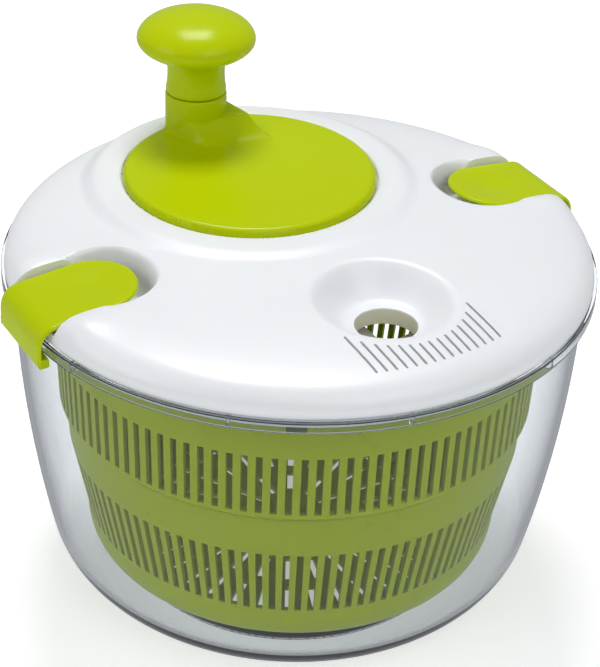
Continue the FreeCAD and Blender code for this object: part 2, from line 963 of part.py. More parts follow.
def make_pan():
    body = new_body("gear_pan")
    wall_top = pan_top + d.pan_wall_height
    disc_between(body, "plate", 0, 0, d.pan_radius, pan_low, wall_top)
    disc_between(body, "hollow", 0, 0, d.pan_radius - d.pan_wall, pan_top, wall_top + 1, "Pocket")
    for index, (x, y) in enumerate(ear_spots()):
        disc_between(body, f"ear{index}", x, y, d.ear_radius, pan_low, pan_top)
        hole = d.screw_radius + 0.15
        disc_between(body, f"hole{index}", x, y, hole, pan_low - 1, pan_top + 1, "Pocket")
    bush_radius = d.shaft_radius + d.shaft_fit + d.bush_wall
    disc_between(body, "bearing", 0, -crank_offset, bush_radius + 2.4, bush_low + 0.6, pan_low + 0.5)
    bore = (0, -crank_offset, bush_radius, bush_low, pan_top + 1)
    disc_between(body, "bearing_bore", *bore, "Pocket")
    set_place(body, y=crank_offset)
    return keep(body)


def make_bush():
    inner = d.shaft_radius + d.shaft_fit
    outer = inner + d.bush_wall
    return keep(
        turned_body(
            "pinion_bush",
            [
                (inner, bush_low),
                (outer, bush_low),
                (outer, pan_top),
                (outer + 1.3, pan_top),
                (outer + 1.3, pan_top + d.bush_flange),
                (inner, pan_top + d.bush_flange),
            ],
        )
    )


def make_pan_screws():
    screw_set("pan_screws", ear_spots(), pan_low, 2.0, 7.0, y=crank_offset)


# ---- clamps ----


def clamp_levels():
    tip = lid_radius - d.clamp_tip
    edge = d.rim_height + d.clamp_top
    return tip, edge, edge + d.clamp_slope


def stadium(sketch, tip, half, far):
    """A tongue's plan: a round end at 'tip' and straight sides out to 'far'."""
    outline(
        sketch,
        [(far, -half), (far, half), (tip + half, half), (tip + half, -half, tip, 0)],
    )


def make_clamp(label, angle):
    body = new_body(label)
    tip, edge, tip_top = clamp_levels()
    wall_in = flange_radius + d.clamp_stand_off
    wall_out = wall_in + d.clamp_wall
    hook_high = flange_under - d.hook_gap
    hook_low = hook_high - d.hook_depth
    hook_in = flange_radius - d.hook_bite
    sketch = new_sketch(body, "section")
    outline(
        sketch,
        [
            (tip, tip_top - d.clamp_thickness),
            (tip, tip_top),
            (wall_out - 6, edge),
            (wall_out, edge - 6.5, wall_out - 1.5, edge - 2.2),
            (wall_out, hook_low + 1),
            (wall_out - 1, hook_low),
            (hook_in + 0.6, hook_low),
            (hook_in, hook_low + 0.6),
            (hook_in, hook_high - 0.5),
            (hook_in + 0.7, hook_high),
            (wall_in, hook_high),
            (wall_in, edge - 5.2),
            (wall_in - 1.8, edge - d.clamp_thickness),
        ],
    )
    turn(body, sketch, "strap", angle=60.0)
    sketch = new_sketch(body, "trim", "XY_Plane", hook_low - 5)
    rectangle(sketch, tip - 40, -90, wall_out + 25, 90)
    stadium(sketch, tip, d.clamp_width / 2, wall_out + 20)
    pad(body, sketch, "trimmed", 60, kind="Pocket", flip=True)
    sketch = new_sketch(body, "lug")
    outline(
        sketch,
        [
            (pin_place + d.lug_radius, pin_level, pin_place, pin_level - d.lug_radius),
            (pin_place + d.lug_radius, edge - d.clamp_thickness + 0.8),
            (pin_place - d.lug_radius, edge - d.clamp_thickness + 0.8),
            (pin_place - d.lug_radius, pin_level),
        ],
    )
    pad(body, sketch, "lugs", d.lug_outer * 2, both=True)
    sketch = new_sketch(body, "lug_gap")
    rectangle(
        sketch,
        pin_place - d.lug_radius - 1,
        pin_level - d.lug_radius - 1,
        pin_place + d.lug_radius + 1,
        edge - d.clamp_thickness,
    )
    pad(body, sketch, "lug_parting", d.lug_inner * 2, both=True, kind="Pocket")
    sketch = new_sketch(body, "pin_hole")
    circle(sketch, pin_place, pin_level, d.pin_radius + d.pin_fit)
    pad(body, sketch, "pin_bore", d.clamp_width * 2, both=True, kind="Pocket")
    set_place(body, angle=angle)
    return keep(body)


def make_pin(label, angle):
    body = new_body(label)
    sketch = new_sketch(body, "round")
    circle(sketch, pin_place, pin_level, d.pin_radius)
    pad(body, sketch, "rod", d.pin_half_length * 2, both=True)
    set_place(body, angle=angle)
    return keep(body)


def clamp_cuts(side, angle):
    """The room that one clamp needs in the lid: its pocket, its lug slots and its pin hole."""
    tip, edge, tip_top = clamp_levels()
    high = d.rim_height + 30
    floor = d.rim_height - d.pocket_depth
    ledge = edge - d.clamp_thickness - d.ledge_gap
    plan = new_body(f"clamp_plan_{side}")
    sketch = new_sketch(plan, "plan", "XY_Plane", floor - 2)
    stadium(sketch, tip + 2, d.clamp_width / 2 + d.clamp_side_gap, lid_radius + 20)
    pad(plan, sketch, "channel", high - floor)
    reach = tip - 8.5 + d.recess_radius
    disc_between(plan, "finger_room", reach, 0, d.recess_radius, floor - 2, high)
    profile = new_body(f"clamp_profile_{side}")
    sketch = new_sketch(profile, "side")
    outline(
        sketch,
        [
            (tip - 9, high),
            (tip - 9, d.rim_height + 12),
            (tip - 5.5, d.rim_height + 4),
            (tip - 0.5, floor),
            (lid_radius - 2.1, ledge),
            (lid_radius + 20, ledge),
            (lid_radius + 20, high),
        ],
    )
    pad(profile, sketch, "slope", d.recess_radius * 2 + 10, both=True)
    pocket = doc.addObject("Part::Common", f"clamp_pocket_{side}")
    pocket.Base = plan
    pocket.Tool = profile
    set_place(pocket, angle=angle)
    slots = new_body(f"lug_slots_{side}")
    sketch = new_sketch(slots, "slots", "XY_Plane", d.rim_height - 1)
    near = d.lug_inner - d.lug_gap
    far = d.lug_outer + d.lug_gap
    back = pin_place - d.lug_radius - d.lug_gap
    rectangle(sketch, back, near, lid_radius + 5, far)
    rectangle(sketch, back, -far, lid_radius + 5, -near)
    pad(slots, sketch, "slot", 20)
    set_place(slots, angle=angle)
    bore = new_body(f"pin_bore_{side}")
    sketch = new_sketch(bore, "bore")
    circle(sketch, pin_place, pin_level, d.pin_radius)
    pad(bore, sketch, "bored", d.pin_half_length * 2, both=True)
    set_place(bore, angle=angle)
    return [pocket, slots, bore]


def clamp_well(side, angle):
    """The pan under the lid that closes one clamp's pocket."""
    tip = clamp_levels()[0]
    low = d.rim_height - d.pocket_depth - d.lid_wall
    body = new_body(f"clamp_well_{side}")
    sketch = new_sketch(body, "plan", "XY_Plane", low)
    half = d.clamp_width / 2 + d.clamp_side_gap + d.lid_wall
    stadium(sketch, tip + 2, half, lid_radius - 2)
    pad(body, sketch, "channel", 30)
    reach = tip - 8.5 + d.recess_radius
    disc_between(body, "room", reach, 0, d.recess_radius + d.lid_wall, low, low + 30)
    set_place(body, angle=angle)
    return body


# ---- lid ----


def vent_slots():
    """A fan of narrow slots outside the pouring hole, each as long as its two circles allow."""
    body = new_body("vent_cut")
    sketch = new_sketch(body, "fan", "XY_Plane", d.rim_height + 0.5)
    count = int(value_of(d.vent_count))
    half = d.vent_width / 2
    for index in range(count):
        x = d.vent_pitch * (index - (count - 1) / 2)
        near = -d.dish_offset - root(d.vent_inner * d.vent_inner - x * x)
        far = -root(d.vent_outer * d.vent_outer - x * x)
        rectangle(sketch, x - half, far, x + half, near)
    pad(body, sketch, "slots", 30)
    return body


def make_lid():
    rim = d.rim_height
    low = rim - d.plug_depth
    shoulder = (lid_radius - d.shoulder_inset, rim + d.lid_shoulder)
    outer = turned_body(
        "lid_outside",
        [
            (0, low),
            (plug_outer, low),
            (plug_outer, rim),
            (lid_radius, rim),
            shoulder + (lid_radius - 0.9, rim + d.lid_shoulder * 0.6),
            (0, rim + d.lid_rise, "dome"),
        ],
    )
    skirt = d.raised_radius + d.raised_slope
    sketch = new_sketch(outer, "raised", offset=-crank_offset)
    outline(
        sketch,
        [
            (0, rim + 5),
            (skirt, rim + 5),
            (skirt, rim + d.lid_shoulder - 0.5),
            (d.raised_radius + 1.5, raised_top - 1),
            (d.raised_radius - 2, raised_top, d.raised_radius, raised_top - 0.2),
            (0, raised_top),
        ],
    )
    turn(outer, sketch, "raised_ring")

    wall = d.lid_wall
    inner_shoulder = (plug_inner - 2.5, rim + d.lid_shoulder - wall + 0.3)
    core = turned_body(
        "lid_hollow",
        [
            (0, low - 1),
            (plug_inner, low - 1),
            (plug_inner, rim + 4),
            inner_shoulder,
            (0, rim + d.lid_rise - wall, "dome"),
        ],
    )
    sketch = new_sketch(core, "raised", offset=-crank_offset)
    outline(
        sketch,
        [
            (0, rim + 4),
            (skirt - wall, rim + 4),
            (skirt - wall, rim + d.lid_shoulder - 1),
            (d.raised_radius - wall, raised_top - wall),
            (0, raised_top - wall),
        ],
    )
    turn(core, sketch, "raised_hollow")

    keepers = [clamp_well("right", 0.0), clamp_well("left", 180.0)]
    seat = new_body("seat")
    high = rim + 30
    seat_radius = d.crank_radius + d.crank_gap
    disc_between(seat, "ledge", 0, 0, seat_radius + 2.6, seat_top - wall, high)
    set_place(seat, y=crank_offset)
    keepers.append(seat)
    dish_floor = rim + d.lid_rise - 2 - d.dish_depth
    dish = turned_body(
        "dish_outside",
        [
            (0, dish_floor - wall),
            (d.dish_floor + wall, dish_floor - wall),
            (d.dish_radius + wall, dish_floor + 6),
            (d.dish_radius + wall, high),
            (0, high),
        ],
    )
    set_place(dish, y=-d.dish_offset)
    spout = new_body("spout")
    disc_between(spout, "tube", 0, 0, d.hole_radius + 2, rim - 5, dish_floor)
    set_place(spout, y=-d.hole_offset)
    keepers += [dish, spout]
    bosses = new_body("bosses")
    for index, (x, y) in enumerate(ear_spots()):
        disc_between(bosses, f"boss{index}", x, y, d.boss_radius, pan_top, high)
    set_place(bosses, y=crank_offset)
    keepers.append(bosses)
    hollow = boolean("Cut", "lid_core", core, keepers)

    cuts = [hollow] + clamp_cuts("right", 0.0) + clamp_cuts("left", 180.0)
    crank_room = new_body("crank_room")
    disc_between(crank_room, "recess", 0, 0, seat_radius, seat_top, high)
    disc_between(crank_room, "opening", 0, 0, d.crank_hub, seat_top - 8, seat_top + 1)
    set_place(crank_room, y=crank_offset)
    dish_cut = turned_body(
        "dish_cut",
        [
            (0, dish_floor),
            (d.dish_floor, dish_floor),
            (d.dish_radius + 0.5, dish_floor + 9.5, d.dish_floor + 8, dish_floor + 2.6),
            (d.dish_radius + 0.5, high),
            (0, high),
        ],
    )
    set_place(dish_cut, y=-d.dish_offset)
    hole = new_body("hole_cut")
    disc_between(hole, "hole", 0, 0, d.hole_radius, rim - 8, dish_floor + 1)
    set_place(hole, y=-d.hole_offset)
    pilots = new_body("pilot_cut")
    for index, (x, y) in enumerate(ear_spots()):
        disc_between(pilots, f"pilot{index}", x, y, d.screw_radius, pan_top - 1, pan_low + 7.1)
    set_place(pilots, y=crank_offset)
    cuts += [crank_room, dish_cut, hole, pilots, vent_slots()]
    return keep(boolean("Cut", "lid", outer, cuts))


make_bowl()
make_soft_ring()
make_basket()
make_cover()
make_drive_fasteners()
make_pinion()
make_bush()
make_ring_gear()
make_gear_screws()
make_crank()
make_knob()
make_pan()
make_pan_screws()
for clamp_side, clamp_angle in (("right", 0.0), ("left", 180.0)):
    make_clamp(f"clamp_{clamp_side}", clamp_angle)
    make_pin(f"clamp_pin_{clamp_side}", clamp_angle)
make_lid()
doc.recompute()

for item in doc.Objects:
    if "Invalid" in item.State or "Error" in item.State:
        raise RuntimeError(f"{item.Label} failed: {item.State}")

os.makedirs("parts", exist_ok=True)
for label, item in nodes.items():
    shape = item.Shape
    if shape.isNull() or not shape.isValid():
        raise RuntimeError(f"{label} has no valid shape")
    shape.exportStep(f"parts/{label}.step")
    print(f"{label}: {len(shape.Solids)} solid(s), {shape.Volume / 1000:.2f} cm3")
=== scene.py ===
import math

import bmesh
import bpy
from bpy.props import FloatProperty, FloatVectorProperty, IntProperty, PointerProperty
from mathutils import Matrix, Vector, geometry


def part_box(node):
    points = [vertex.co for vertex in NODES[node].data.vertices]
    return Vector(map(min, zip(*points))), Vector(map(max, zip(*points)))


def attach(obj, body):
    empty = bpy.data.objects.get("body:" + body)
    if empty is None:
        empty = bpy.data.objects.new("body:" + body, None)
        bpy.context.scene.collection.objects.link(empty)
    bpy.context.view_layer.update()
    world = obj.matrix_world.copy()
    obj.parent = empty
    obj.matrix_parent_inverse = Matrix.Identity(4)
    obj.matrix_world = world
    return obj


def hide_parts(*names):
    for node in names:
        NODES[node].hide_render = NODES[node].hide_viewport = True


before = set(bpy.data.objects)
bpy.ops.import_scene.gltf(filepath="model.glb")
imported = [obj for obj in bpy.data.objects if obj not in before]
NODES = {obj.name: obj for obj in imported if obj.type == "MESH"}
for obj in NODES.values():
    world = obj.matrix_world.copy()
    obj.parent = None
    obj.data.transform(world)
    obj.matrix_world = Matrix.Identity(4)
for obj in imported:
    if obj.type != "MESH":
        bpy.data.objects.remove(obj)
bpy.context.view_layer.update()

bl_info = {
    "name": "Salad spinner",
    "version": (1, 0, 0),
    "blender": (4, 5, 0),
    "location": "View3D > Sidebar > Spinner",
    "description": "Makes the visible pieces, finishes and stage of a hand-cranked salad spinner",
    "category": "Object",
}

MM = 0.001


def low_mm(node):
    return [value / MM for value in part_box(node)[0]]


def high_mm(node):
    return [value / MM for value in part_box(node)[1]]


DISC_HIGH = high_mm("crank_disc")
DISC_LOW = low_mm("crank_disc")
DISC_X = (DISC_HIGH[0] + DISC_LOW[0]) / 2
DISC_RADIUS = (DISC_HIGH[0] - DISC_LOW[0]) / 2
DISC_Y = DISC_LOW[1] + DISC_RADIUS
CAP_HIGH = high_mm("knob_cap")
CAP_LOW = low_mm("knob_cap")
KNOB_X = (CAP_HIGH[0] + CAP_LOW[0]) / 2
KNOB_Y = (CAP_HIGH[1] + CAP_LOW[1]) / 2
KNOB_RADIUS = (CAP_HIGH[0] - CAP_LOW[0]) / 2
RIM = 150.0


# ---------------------------------------------------------------- settings


class SpinnerSizes(bpy.types.PropertyGroup):
    ring_rise: FloatProperty(
        name="Raised ring",
        description="Height of the flat ring round the crank, above the lid's edge, in mm",
        default=16.0,
    )
    ring_radius: FloatProperty(
        name="Ring radius",
        description="Radius of the raised ring's flat top, in mm",
        default=66.0,
    )
    thumb_dish: FloatProperty(
        name="Thumb dish",
        description="Depth of the hollow in each clamp's tongue, in mm",
        default=0.9,
    )
    vent_count: IntProperty(
        name="Vents", description="Number of vent slots in the lid", default=15, min=1
    )
    turns: IntProperty(
        name="Segments",
        description="Number of sides on a large turned piece",
        default=192,
        min=24,
    )


class SpinnerColours(bpy.types.PropertyGroup):
    lime: FloatVectorProperty(
        name="Lime",
        description="Colour of the crank, the knob and the clamps",
        subtype="COLOR",
        size=3,
        default=(0.5, 0.615, 0.0),
    )
    basket: FloatVectorProperty(
        name="Basket",
        description="Colour of the basket",
        subtype="COLOR",
        size=3,
        default=(0.37, 0.47, 0.006),
    )
    white: FloatVectorProperty(
        name="White",
        description="Colour of the lid",
        subtype="COLOR",
        size=3,
        default=(0.89, 0.9, 0.925),
    )
    # On the basket cover this is the cover's own cream. On the spout it is painted bounce light, a tint
    # standing in for green light bounced onto the white spout wall.
    cream: FloatVectorProperty(
        name="Cream",
        description="Colour of the basket cover and the spout",
        subtype="COLOR",
        size=3,
        default=(0.76, 0.74, 0.58),
    )
    clear: FloatVectorProperty(
        name="Clear",
        description="Tint of the bowl",
        subtype="COLOR",
        size=3,
        default=(0.95, 0.965, 0.98),
    )


class SpinnerStage(bpy.types.PropertyGroup):
    distance: FloatProperty(
        name="Distance", description="Camera to the middle of the rim", default=0.85, unit="LENGTH"
    )
    turn: FloatProperty(
        name="Turn",
        description="How far the camera stands round to the left",
        default=math.radians(30.7),
        subtype="ANGLE",
    )
    height: FloatProperty(
        name="Height",
        description="Angle of the camera above the rim",
        default=math.radians(29.99),
        subtype="ANGLE",
    )
    lens: FloatProperty(
        name="Lens", description="Focal length", default=108.7, unit="CAMERA"
    )
    key: FloatProperty(name="Key", description="Power of the main softbox", default=9.5, unit="POWER")


SETTINGS = {"spinner_sizes": SpinnerSizes, "spinner_colours": SpinnerColours, "spinner_stage": SpinnerStage}


# ---------------------------------------------------------------- finishes


def new_group(name, inputs, outputs):
    """An empty shader node group with named sockets."""
    group = bpy.data.node_groups.new(name, "ShaderNodeTree")
    for label, kind, value in inputs:
        socket = group.interface.new_socket(label, in_out="INPUT", socket_type=kind)
        socket.default_value = value
    for label, kind in outputs:
        group.interface.new_socket(label, in_out="OUTPUT", socket_type=kind)
    start = group.nodes.new("NodeGroupInput")
    end = group.nodes.new("NodeGroupOutput")
    return group, start, end


def noise_node(tree, scale, detail, source, rough=0.5):
    node = tree.nodes.new("ShaderNodeTexNoise")
    node.inputs["Scale"].default_value = scale
    node.inputs["Detail"].default_value = detail
    node.inputs["Roughness"].default_value = rough
    tree.links.new(source, node.inputs["Vector"])
    return node


def map_node(tree, source, low, high, to_low, to_high):
    node = tree.nodes.new("ShaderNodeMapRange")
    tree.links.new(source, node.inputs["Value"])
    for label, value in (
        ("From Min", low),
        ("From Max", high),
        ("To Min", to_low),
        ("To Max", to_high),
    ):
        if hasattr(value, "links"):
            tree.links.new(value, node.inputs[label])
        else:
            node.inputs[label].default_value = value
    return node.outputs["Result"]


def math_node(tree, operation, first, second):
    node = tree.nodes.new("ShaderNodeMath")
    node.operation = operation
    for index, value in enumerate((first, second)):
        if hasattr(value, "links"):
            tree.links.new(value, node.inputs[index])
        else:
            node.inputs[index].default_value = value
    return node.outputs[0]


def moulded_skin():
    """Moulded plastic: a faint orange-peel height, cloudy roughness and a slow change of shade."""
    group, start, end = new_group(
        "moulded_skin",
        [
            ("Peel Scale", "NodeSocketFloat", 900.0),
            ("Roughness Low", "NodeSocketFloat", 0.2),
            ("Roughness High", "NodeSocketFloat", 0.3),
            ("Colour", "NodeSocketColor", (0.8, 0.8, 0.8, 1.0)),
            ("Shade", "NodeSocketFloat", 0.05),
        ],
        [("Height", "NodeSocketFloat"), ("Roughness", "NodeSocketFloat"), ("Colour", "NodeSocketColor")],
    )
    place = group.nodes.new("ShaderNodeTexCoord").outputs["Object"]
    peel = group.nodes.new("ShaderNodeTexNoise")
    peel.inputs["Detail"].default_value = 2.0
    group.links.new(place, peel.inputs["Vector"])
    group.links.new(start.outputs["Peel Scale"], peel.inputs["Scale"])
    group.links.new(peel.outputs["Fac"], end.inputs["Height"])
    cloud = noise_node(group, 26.0, 4.0, place)
    rough = map_node(
        group, cloud.outputs["Fac"], 0.3, 0.7, start.outputs["Roughness Low"], start.outputs["Roughness High"]
    )
    group.links.new(rough, end.inputs["Roughness"])
    flow = noise_node(group, 9.0, 2.0, place)
    amount = math_node(group, "MULTIPLY", start.outputs["Shade"], flow.outputs["Fac"])
    darker = group.nodes.new("ShaderNodeMix")
    darker.data_type = "RGBA"
    darker.blend_type = "MULTIPLY"
    group.links.new(amount, darker.inputs["Factor"])
    group.links.new(start.outputs["Colour"], darker.inputs[6])
    darker.inputs[7].default_value = (0.7, 0.7, 0.7, 1.0)
    group.links.new(darker.outputs[2], end.inputs["Colour"])
    return group


def fine_scuffs():
    """Sparse hairline scuffs from handling: a mask from 0 to 1."""
    group, start, end = new_group(
        "fine_scuffs",
        [("Scale", "NodeSocketFloat", 60.0), ("Amount", "NodeSocketFloat", 0.5)],
        [("Mask", "NodeSocketFloat")],
    )
    place = group.nodes.new("ShaderNodeTexCoord").outputs["Object"]
    stretch = group.nodes.new("ShaderNodeMapping")
    stretch.inputs["Scale"].default_value = (1.0, 9.0, 3.0)
    stretch.inputs["Rotation"].default_value = (0.3, 0.5, 0.9)
    group.links.new(place, stretch.inputs["Vector"])
    lines = group.nodes.new("ShaderNodeTexVoronoi")
    lines.feature = "DISTANCE_TO_EDGE"
    group.links.new(start.outputs["Scale"], lines.inputs["Scale"])
    group.links.new(stretch.outputs["Vector"], lines.inputs["Vector"])
    thin = map_node(group, lines.outputs["Distance"], 0.0, 0.012, 1.0, 0.0)
    where = noise_node(group, 14.0, 2.0, place)
    patch = map_node(group, where.outputs["Fac"], 0.52, 0.66, 0.0, 1.0)
    mask = math_node(group, "MULTIPLY", thin, patch)
    group.links.new(math_node(group, "MULTIPLY", mask, start.outputs["Amount"]), end.inputs["Mask"])
    return group


GROUPS = {}
FINISHES = {}


def group_node(tree, maker, **values):
    """Places a shared group, made on its first use, with its own values."""
    if maker.__name__ not in GROUPS:
        GROUPS[maker.__name__] = maker()
    node = tree.nodes.new("ShaderNodeGroup")
    node.node_tree = GROUPS[maker.__name__]
    for label, value in values.items():
        node.inputs[label.replace("_", " ")].default_value = value
    return node


def plastic(name, colour, rough=(0.2, 0.3), peel=900.0, relief=0.02, shade=0.12, scuffs=0.4, **constants):
    """A moulded plastic; constants are the shader's own sockets."""
    material = bpy.data.materials.new(name)
    material.use_nodes = True
    tree = material.node_tree
    shader = tree.nodes["Principled BSDF"]
    skin = group_node(
        tree,
        moulded_skin,
        Peel_Scale=peel,
        Roughness_Low=rough[0],
        Roughness_High=rough[1],
        Colour=(*colour, 1.0),
        Shade=shade,
    )
    marks = group_node(tree, fine_scuffs, Scale=60.0, Amount=scuffs)
    rougher = math_node(tree, "MULTIPLY", marks.outputs["Mask"], 0.25)
    tree.links.new(
        math_node(tree, "ADD", skin.outputs["Roughness"], rougher), shader.inputs["Roughness"]
    )
    tree.links.new(skin.outputs["Colour"], shader.inputs["Base Color"])
    height = math_node(tree, "SUBTRACT", skin.outputs["Height"], marks.outputs["Mask"])
    bump = tree.nodes.new("ShaderNodeBump")
    bump.inputs["Strength"].default_value = relief
    bump.inputs["Distance"].default_value = 0.0004
    tree.links.new(height, bump.inputs["Height"])
    tree.links.new(bump.outputs["Normal"], shader.inputs["Normal"])
    for label, value in constants.items():
        shader.inputs[label.replace("_", " ")].default_value = value
    return material


def clear_plastic(name, colour):
    """The bowl's clear plastic: polished, with faint scuffs, and letting light through to the floor."""
    material = bpy.data.materials.new(name)
    material.use_nodes = True
    tree = material.node_tree
    shader = tree.nodes["Principled BSDF"]
    shader.inputs["Base Color"].default_value = (*colour, 1.0)
    shader.inputs["Transmission Weight"].default_value = 1.0
    shader.inputs["IOR"].default_value = 1.47
    marks = group_node(tree, fine_scuffs, Scale=45.0, Amount=0.35)
    shader.inputs["Specular IOR Level"].default_value = 0.15
    tree.links.new(
        map_node(tree, marks.outputs["Mask"], 0.0, 1.0, 0.01, 0.2), shader.inputs["Roughness"]
    )
    thickness = tree.nodes.new("ShaderNodeVolumeAbsorption")
    thickness.inputs["Color"].default_value = (0.74, 0.78, 0.82, 1.0)
    thickness.inputs["Density"].default_value = 45.0
    tree.links.new(thickness.outputs["Volume"], tree.nodes["Material Output"].inputs["Volume"])
    through = tree.nodes.new("ShaderNodeBsdfTransparent")
    through.inputs["Color"].default_value = (0.93, 0.94, 0.95, 1.0)
    light = tree.nodes.new("ShaderNodeLightPath")
    mix = tree.nodes.new("ShaderNodeMixShader")
    tree.links.new(light.outputs["Is Shadow Ray"], mix.inputs["Fac"])
    tree.links.new(shader.outputs["BSDF"], mix.inputs[1])
    tree.links.new(through.outputs["BSDF"], mix.inputs[2])
    tree.links.new(mix.outputs["Shader"], tree.nodes["Material Output"].inputs["Surface"])
    return material


def turned_steel(name):
    """Stainless steel with fine turning marks."""
    material = bpy.data.materials.new(name)
    material.use_nodes = True
    tree = material.node_tree
    shader = tree.nodes["Principled BSDF"]
    shader.inputs["Metallic"].default_value = 1.0
    place = tree.nodes.new("ShaderNodeTexCoord").outputs["Object"]
    marks = noise_node(tree, 1400.0, 3.0, place)
    tint = tree.nodes.new("ShaderNodeValToRGB")
    tint.color_ramp.elements[0].color = (0.52, 0.52, 0.53, 1.0)
    tint.color_ramp.elements[1].color = (0.68, 0.68, 0.69, 1.0)
    tree.links.new(marks.outputs["Fac"], tint.inputs["Fac"])
    tree.links.new(tint.outputs["Color"], shader.inputs["Base Color"])
    tree.links.new(map_node(tree, marks.outputs["Fac"], 0.3, 0.7, 0.22, 0.36), shader.inputs["Roughness"])
    bump = tree.nodes.new("ShaderNodeBump")
    bump.inputs["Strength"].default_value = 0.1
    bump.inputs["Distance"].default_value = 0.0001
    tree.links.new(marks.outputs["Fac"], bump.inputs["Height"])
    tree.links.new(bump.outputs["Normal"], shader.inputs["Normal"])
    return material


def finish(name):
    """One finish of the object, made on its first use."""
    if name not in FINISHES:
        colours = bpy.context.scene.spinner_colours
        makers = {
            "lime_plastic": lambda: plastic(
                name, colours.lime, (0.2, 0.28), relief=0.015, shade=0.1, Coat_Weight=0.05,
                Coat_Roughness=0.08, Specular_IOR_Level=0.12,
            ),
            "basket_plastic": lambda: plastic(
                name, colours.basket, (0.26, 0.4), relief=0.02, shade=0.2,
                Subsurface_Weight=0.12, Subsurface_Scale=0.004, Specular_IOR_Level=0.25,
            ),
            "white_plastic": lambda: plastic(
                name, colours.white, (0.3, 0.42), peel=1300.0, relief=0.02, shade=0.05,
                Subsurface_Weight=0.1, Subsurface_Scale=0.003, Coat_Weight=0.15, Coat_Roughness=0.2,
            ),
            "cream_plastic": lambda: plastic(name, colours.cream, (0.4, 0.55), relief=0.03, shade=0.15),
            "nylon": lambda: plastic(name, (0.68, 0.68, 0.62), (0.4, 0.55), relief=0.04, shade=0.15),
            "soft_grey": lambda: plastic(
                name, (0.2, 0.2, 0.2), (0.55, 0.75), peel=700.0, relief=0.08, shade=0.25
            ),
            "clear_plastic": lambda: clear_plastic(name, colours.clear),
            "steel": lambda: turned_steel(name),
        }
        FINISHES[name] = makers[name]()
    return FINISHES[name]


def dress(node, name):
    """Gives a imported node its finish."""
    mesh = NODES[node].data
    mesh.materials.clear()
    mesh.materials.append(finish(name))


# ---------------------------------------------------------------- mesh tools


def ease(low, high, value):
    """0 at low, 1 at high, with level ends."""
    t = min(1.0, max(0.0, (value - low) / (high - low)))
    return t * t * (3.0 - 2.0 * t)


def along(table, value):
    """Straight-line look-up in a table of (position, result) rows."""
    if value <= table[0][0]:
        return table[0][1]
    for (x0, y0), (x1, y1) in zip(table, table[1:]):
        if value <= x1:
            return y0 + (y1 - y0) * (value - x0) / (x1 - x0)
    return table[-1][1]


def arc(start, via, end, steps):
    """Points of the arc from start, through via, to end, without the start."""
    (ax, ay), (bx, by), (cx, cy) = start, via, end
    d = 2 * (ax * (by - cy) + bx * (cy - ay) + cx * (ay - by))
    ux = ((ax**2 + ay**2) * (by - cy) + (bx**2 + by**2) * (cy - ay) + (cx**2 + cy**2) * (ay - by)) / d
    uy = ((ax**2 + ay**2) * (cx - bx) + (bx**2 + by**2) * (ax - cx) + (cx**2 + cy**2) * (bx - ax)) / d
    radius = math.hypot(ax - ux, ay - uy)
    first, middle, last = (math.atan2(y - uy, x - ux) for x, y in (start, via, end))
    full = 2 * math.pi
    span = (last - first) % full
    if (middle - first) % full > span:
        span -= full
    return [
        (ux + radius * math.cos(first + span * i / steps), uy + radius * math.sin(first + span * i / steps))
        for i in range(1, steps + 1)
    ]


def soften(points, radius, steps=3, closed=True):
    """Rounds the corners of an outline that are sharper than about 25 degrees."""
    result = []
    count = len(points)
    for i, point in enumerate(points):
        if not closed and i in (0, count - 1):
            result.append(point)
            continue
        here = Vector(point)
        before = Vector(points[i - 1]) - here
        after = Vector(points[(i + 1) % count]) - here
        bend = math.pi - before.angle(after, math.pi)
        if bend < 0.45 or here.x < 1e-6:
            result.append(point)
            continue
        cut = min(radius * math.tan(bend / 2), before.length * 0.45, after.length * 0.45)
        a = here + before.normalized() * cut
        b = here + after.normalized() * cut
        for k in range(steps + 1):
            t = k / steps
            mid = a.lerp(here, t).lerp(here.lerp(b, t), t)
            result.append((mid.x, mid.y))
    return result


def turned(builder, profile, segments, centre=(0.0, 0.0)):
    """Turns a closed profile of (radius, height) points, in mm, about an upright axis."""
    rows = []
    for radius, height in profile:
        if radius < 1e-6:
            rows.append([builder.verts.new((centre[0] * MM, centre[1] * MM, height * MM))])
            continue
        rows.append(
            [
                builder.verts.new(
                    (
                        (centre[0] + radius * math.cos(2 * math.pi * i / segments)) * MM,
                        (centre[1] + radius * math.sin(2 * math.pi * i / segments)) * MM,
                        height * MM,
                    )
                )
                for i in range(segments)
            ]
        )
    for index, row in enumerate(rows):
        following = rows[(index + 1) % len(rows)]
        if len(row) == 1 and len(following) == 1:
            continue
        for i in range(segments):
            j = (i + 1) % segments
            near = (row[i % len(row)], row[j % len(row)])
            far = (following[j % len(following)], following[i % len(following)])
            corners = list(dict.fromkeys(near + far))
            if len(corners) > 2:
                builder.faces.new(corners)


def slab(builder, outline, low, high):
    """An upright prism on a plan outline, in mm."""
    bottom = [builder.verts.new((x * MM, y * MM, low * MM)) for x, y in outline]
    top = [builder.verts.new((x * MM, y * MM, high * MM)) for x, y in outline]
    builder.faces.new(bottom[::-1])
    builder.faces.new(top)
    for i in range(len(outline)):
        j = (i + 1) % len(outline)
        builder.faces.new((bottom[i], bottom[j], top[j], top[i]))


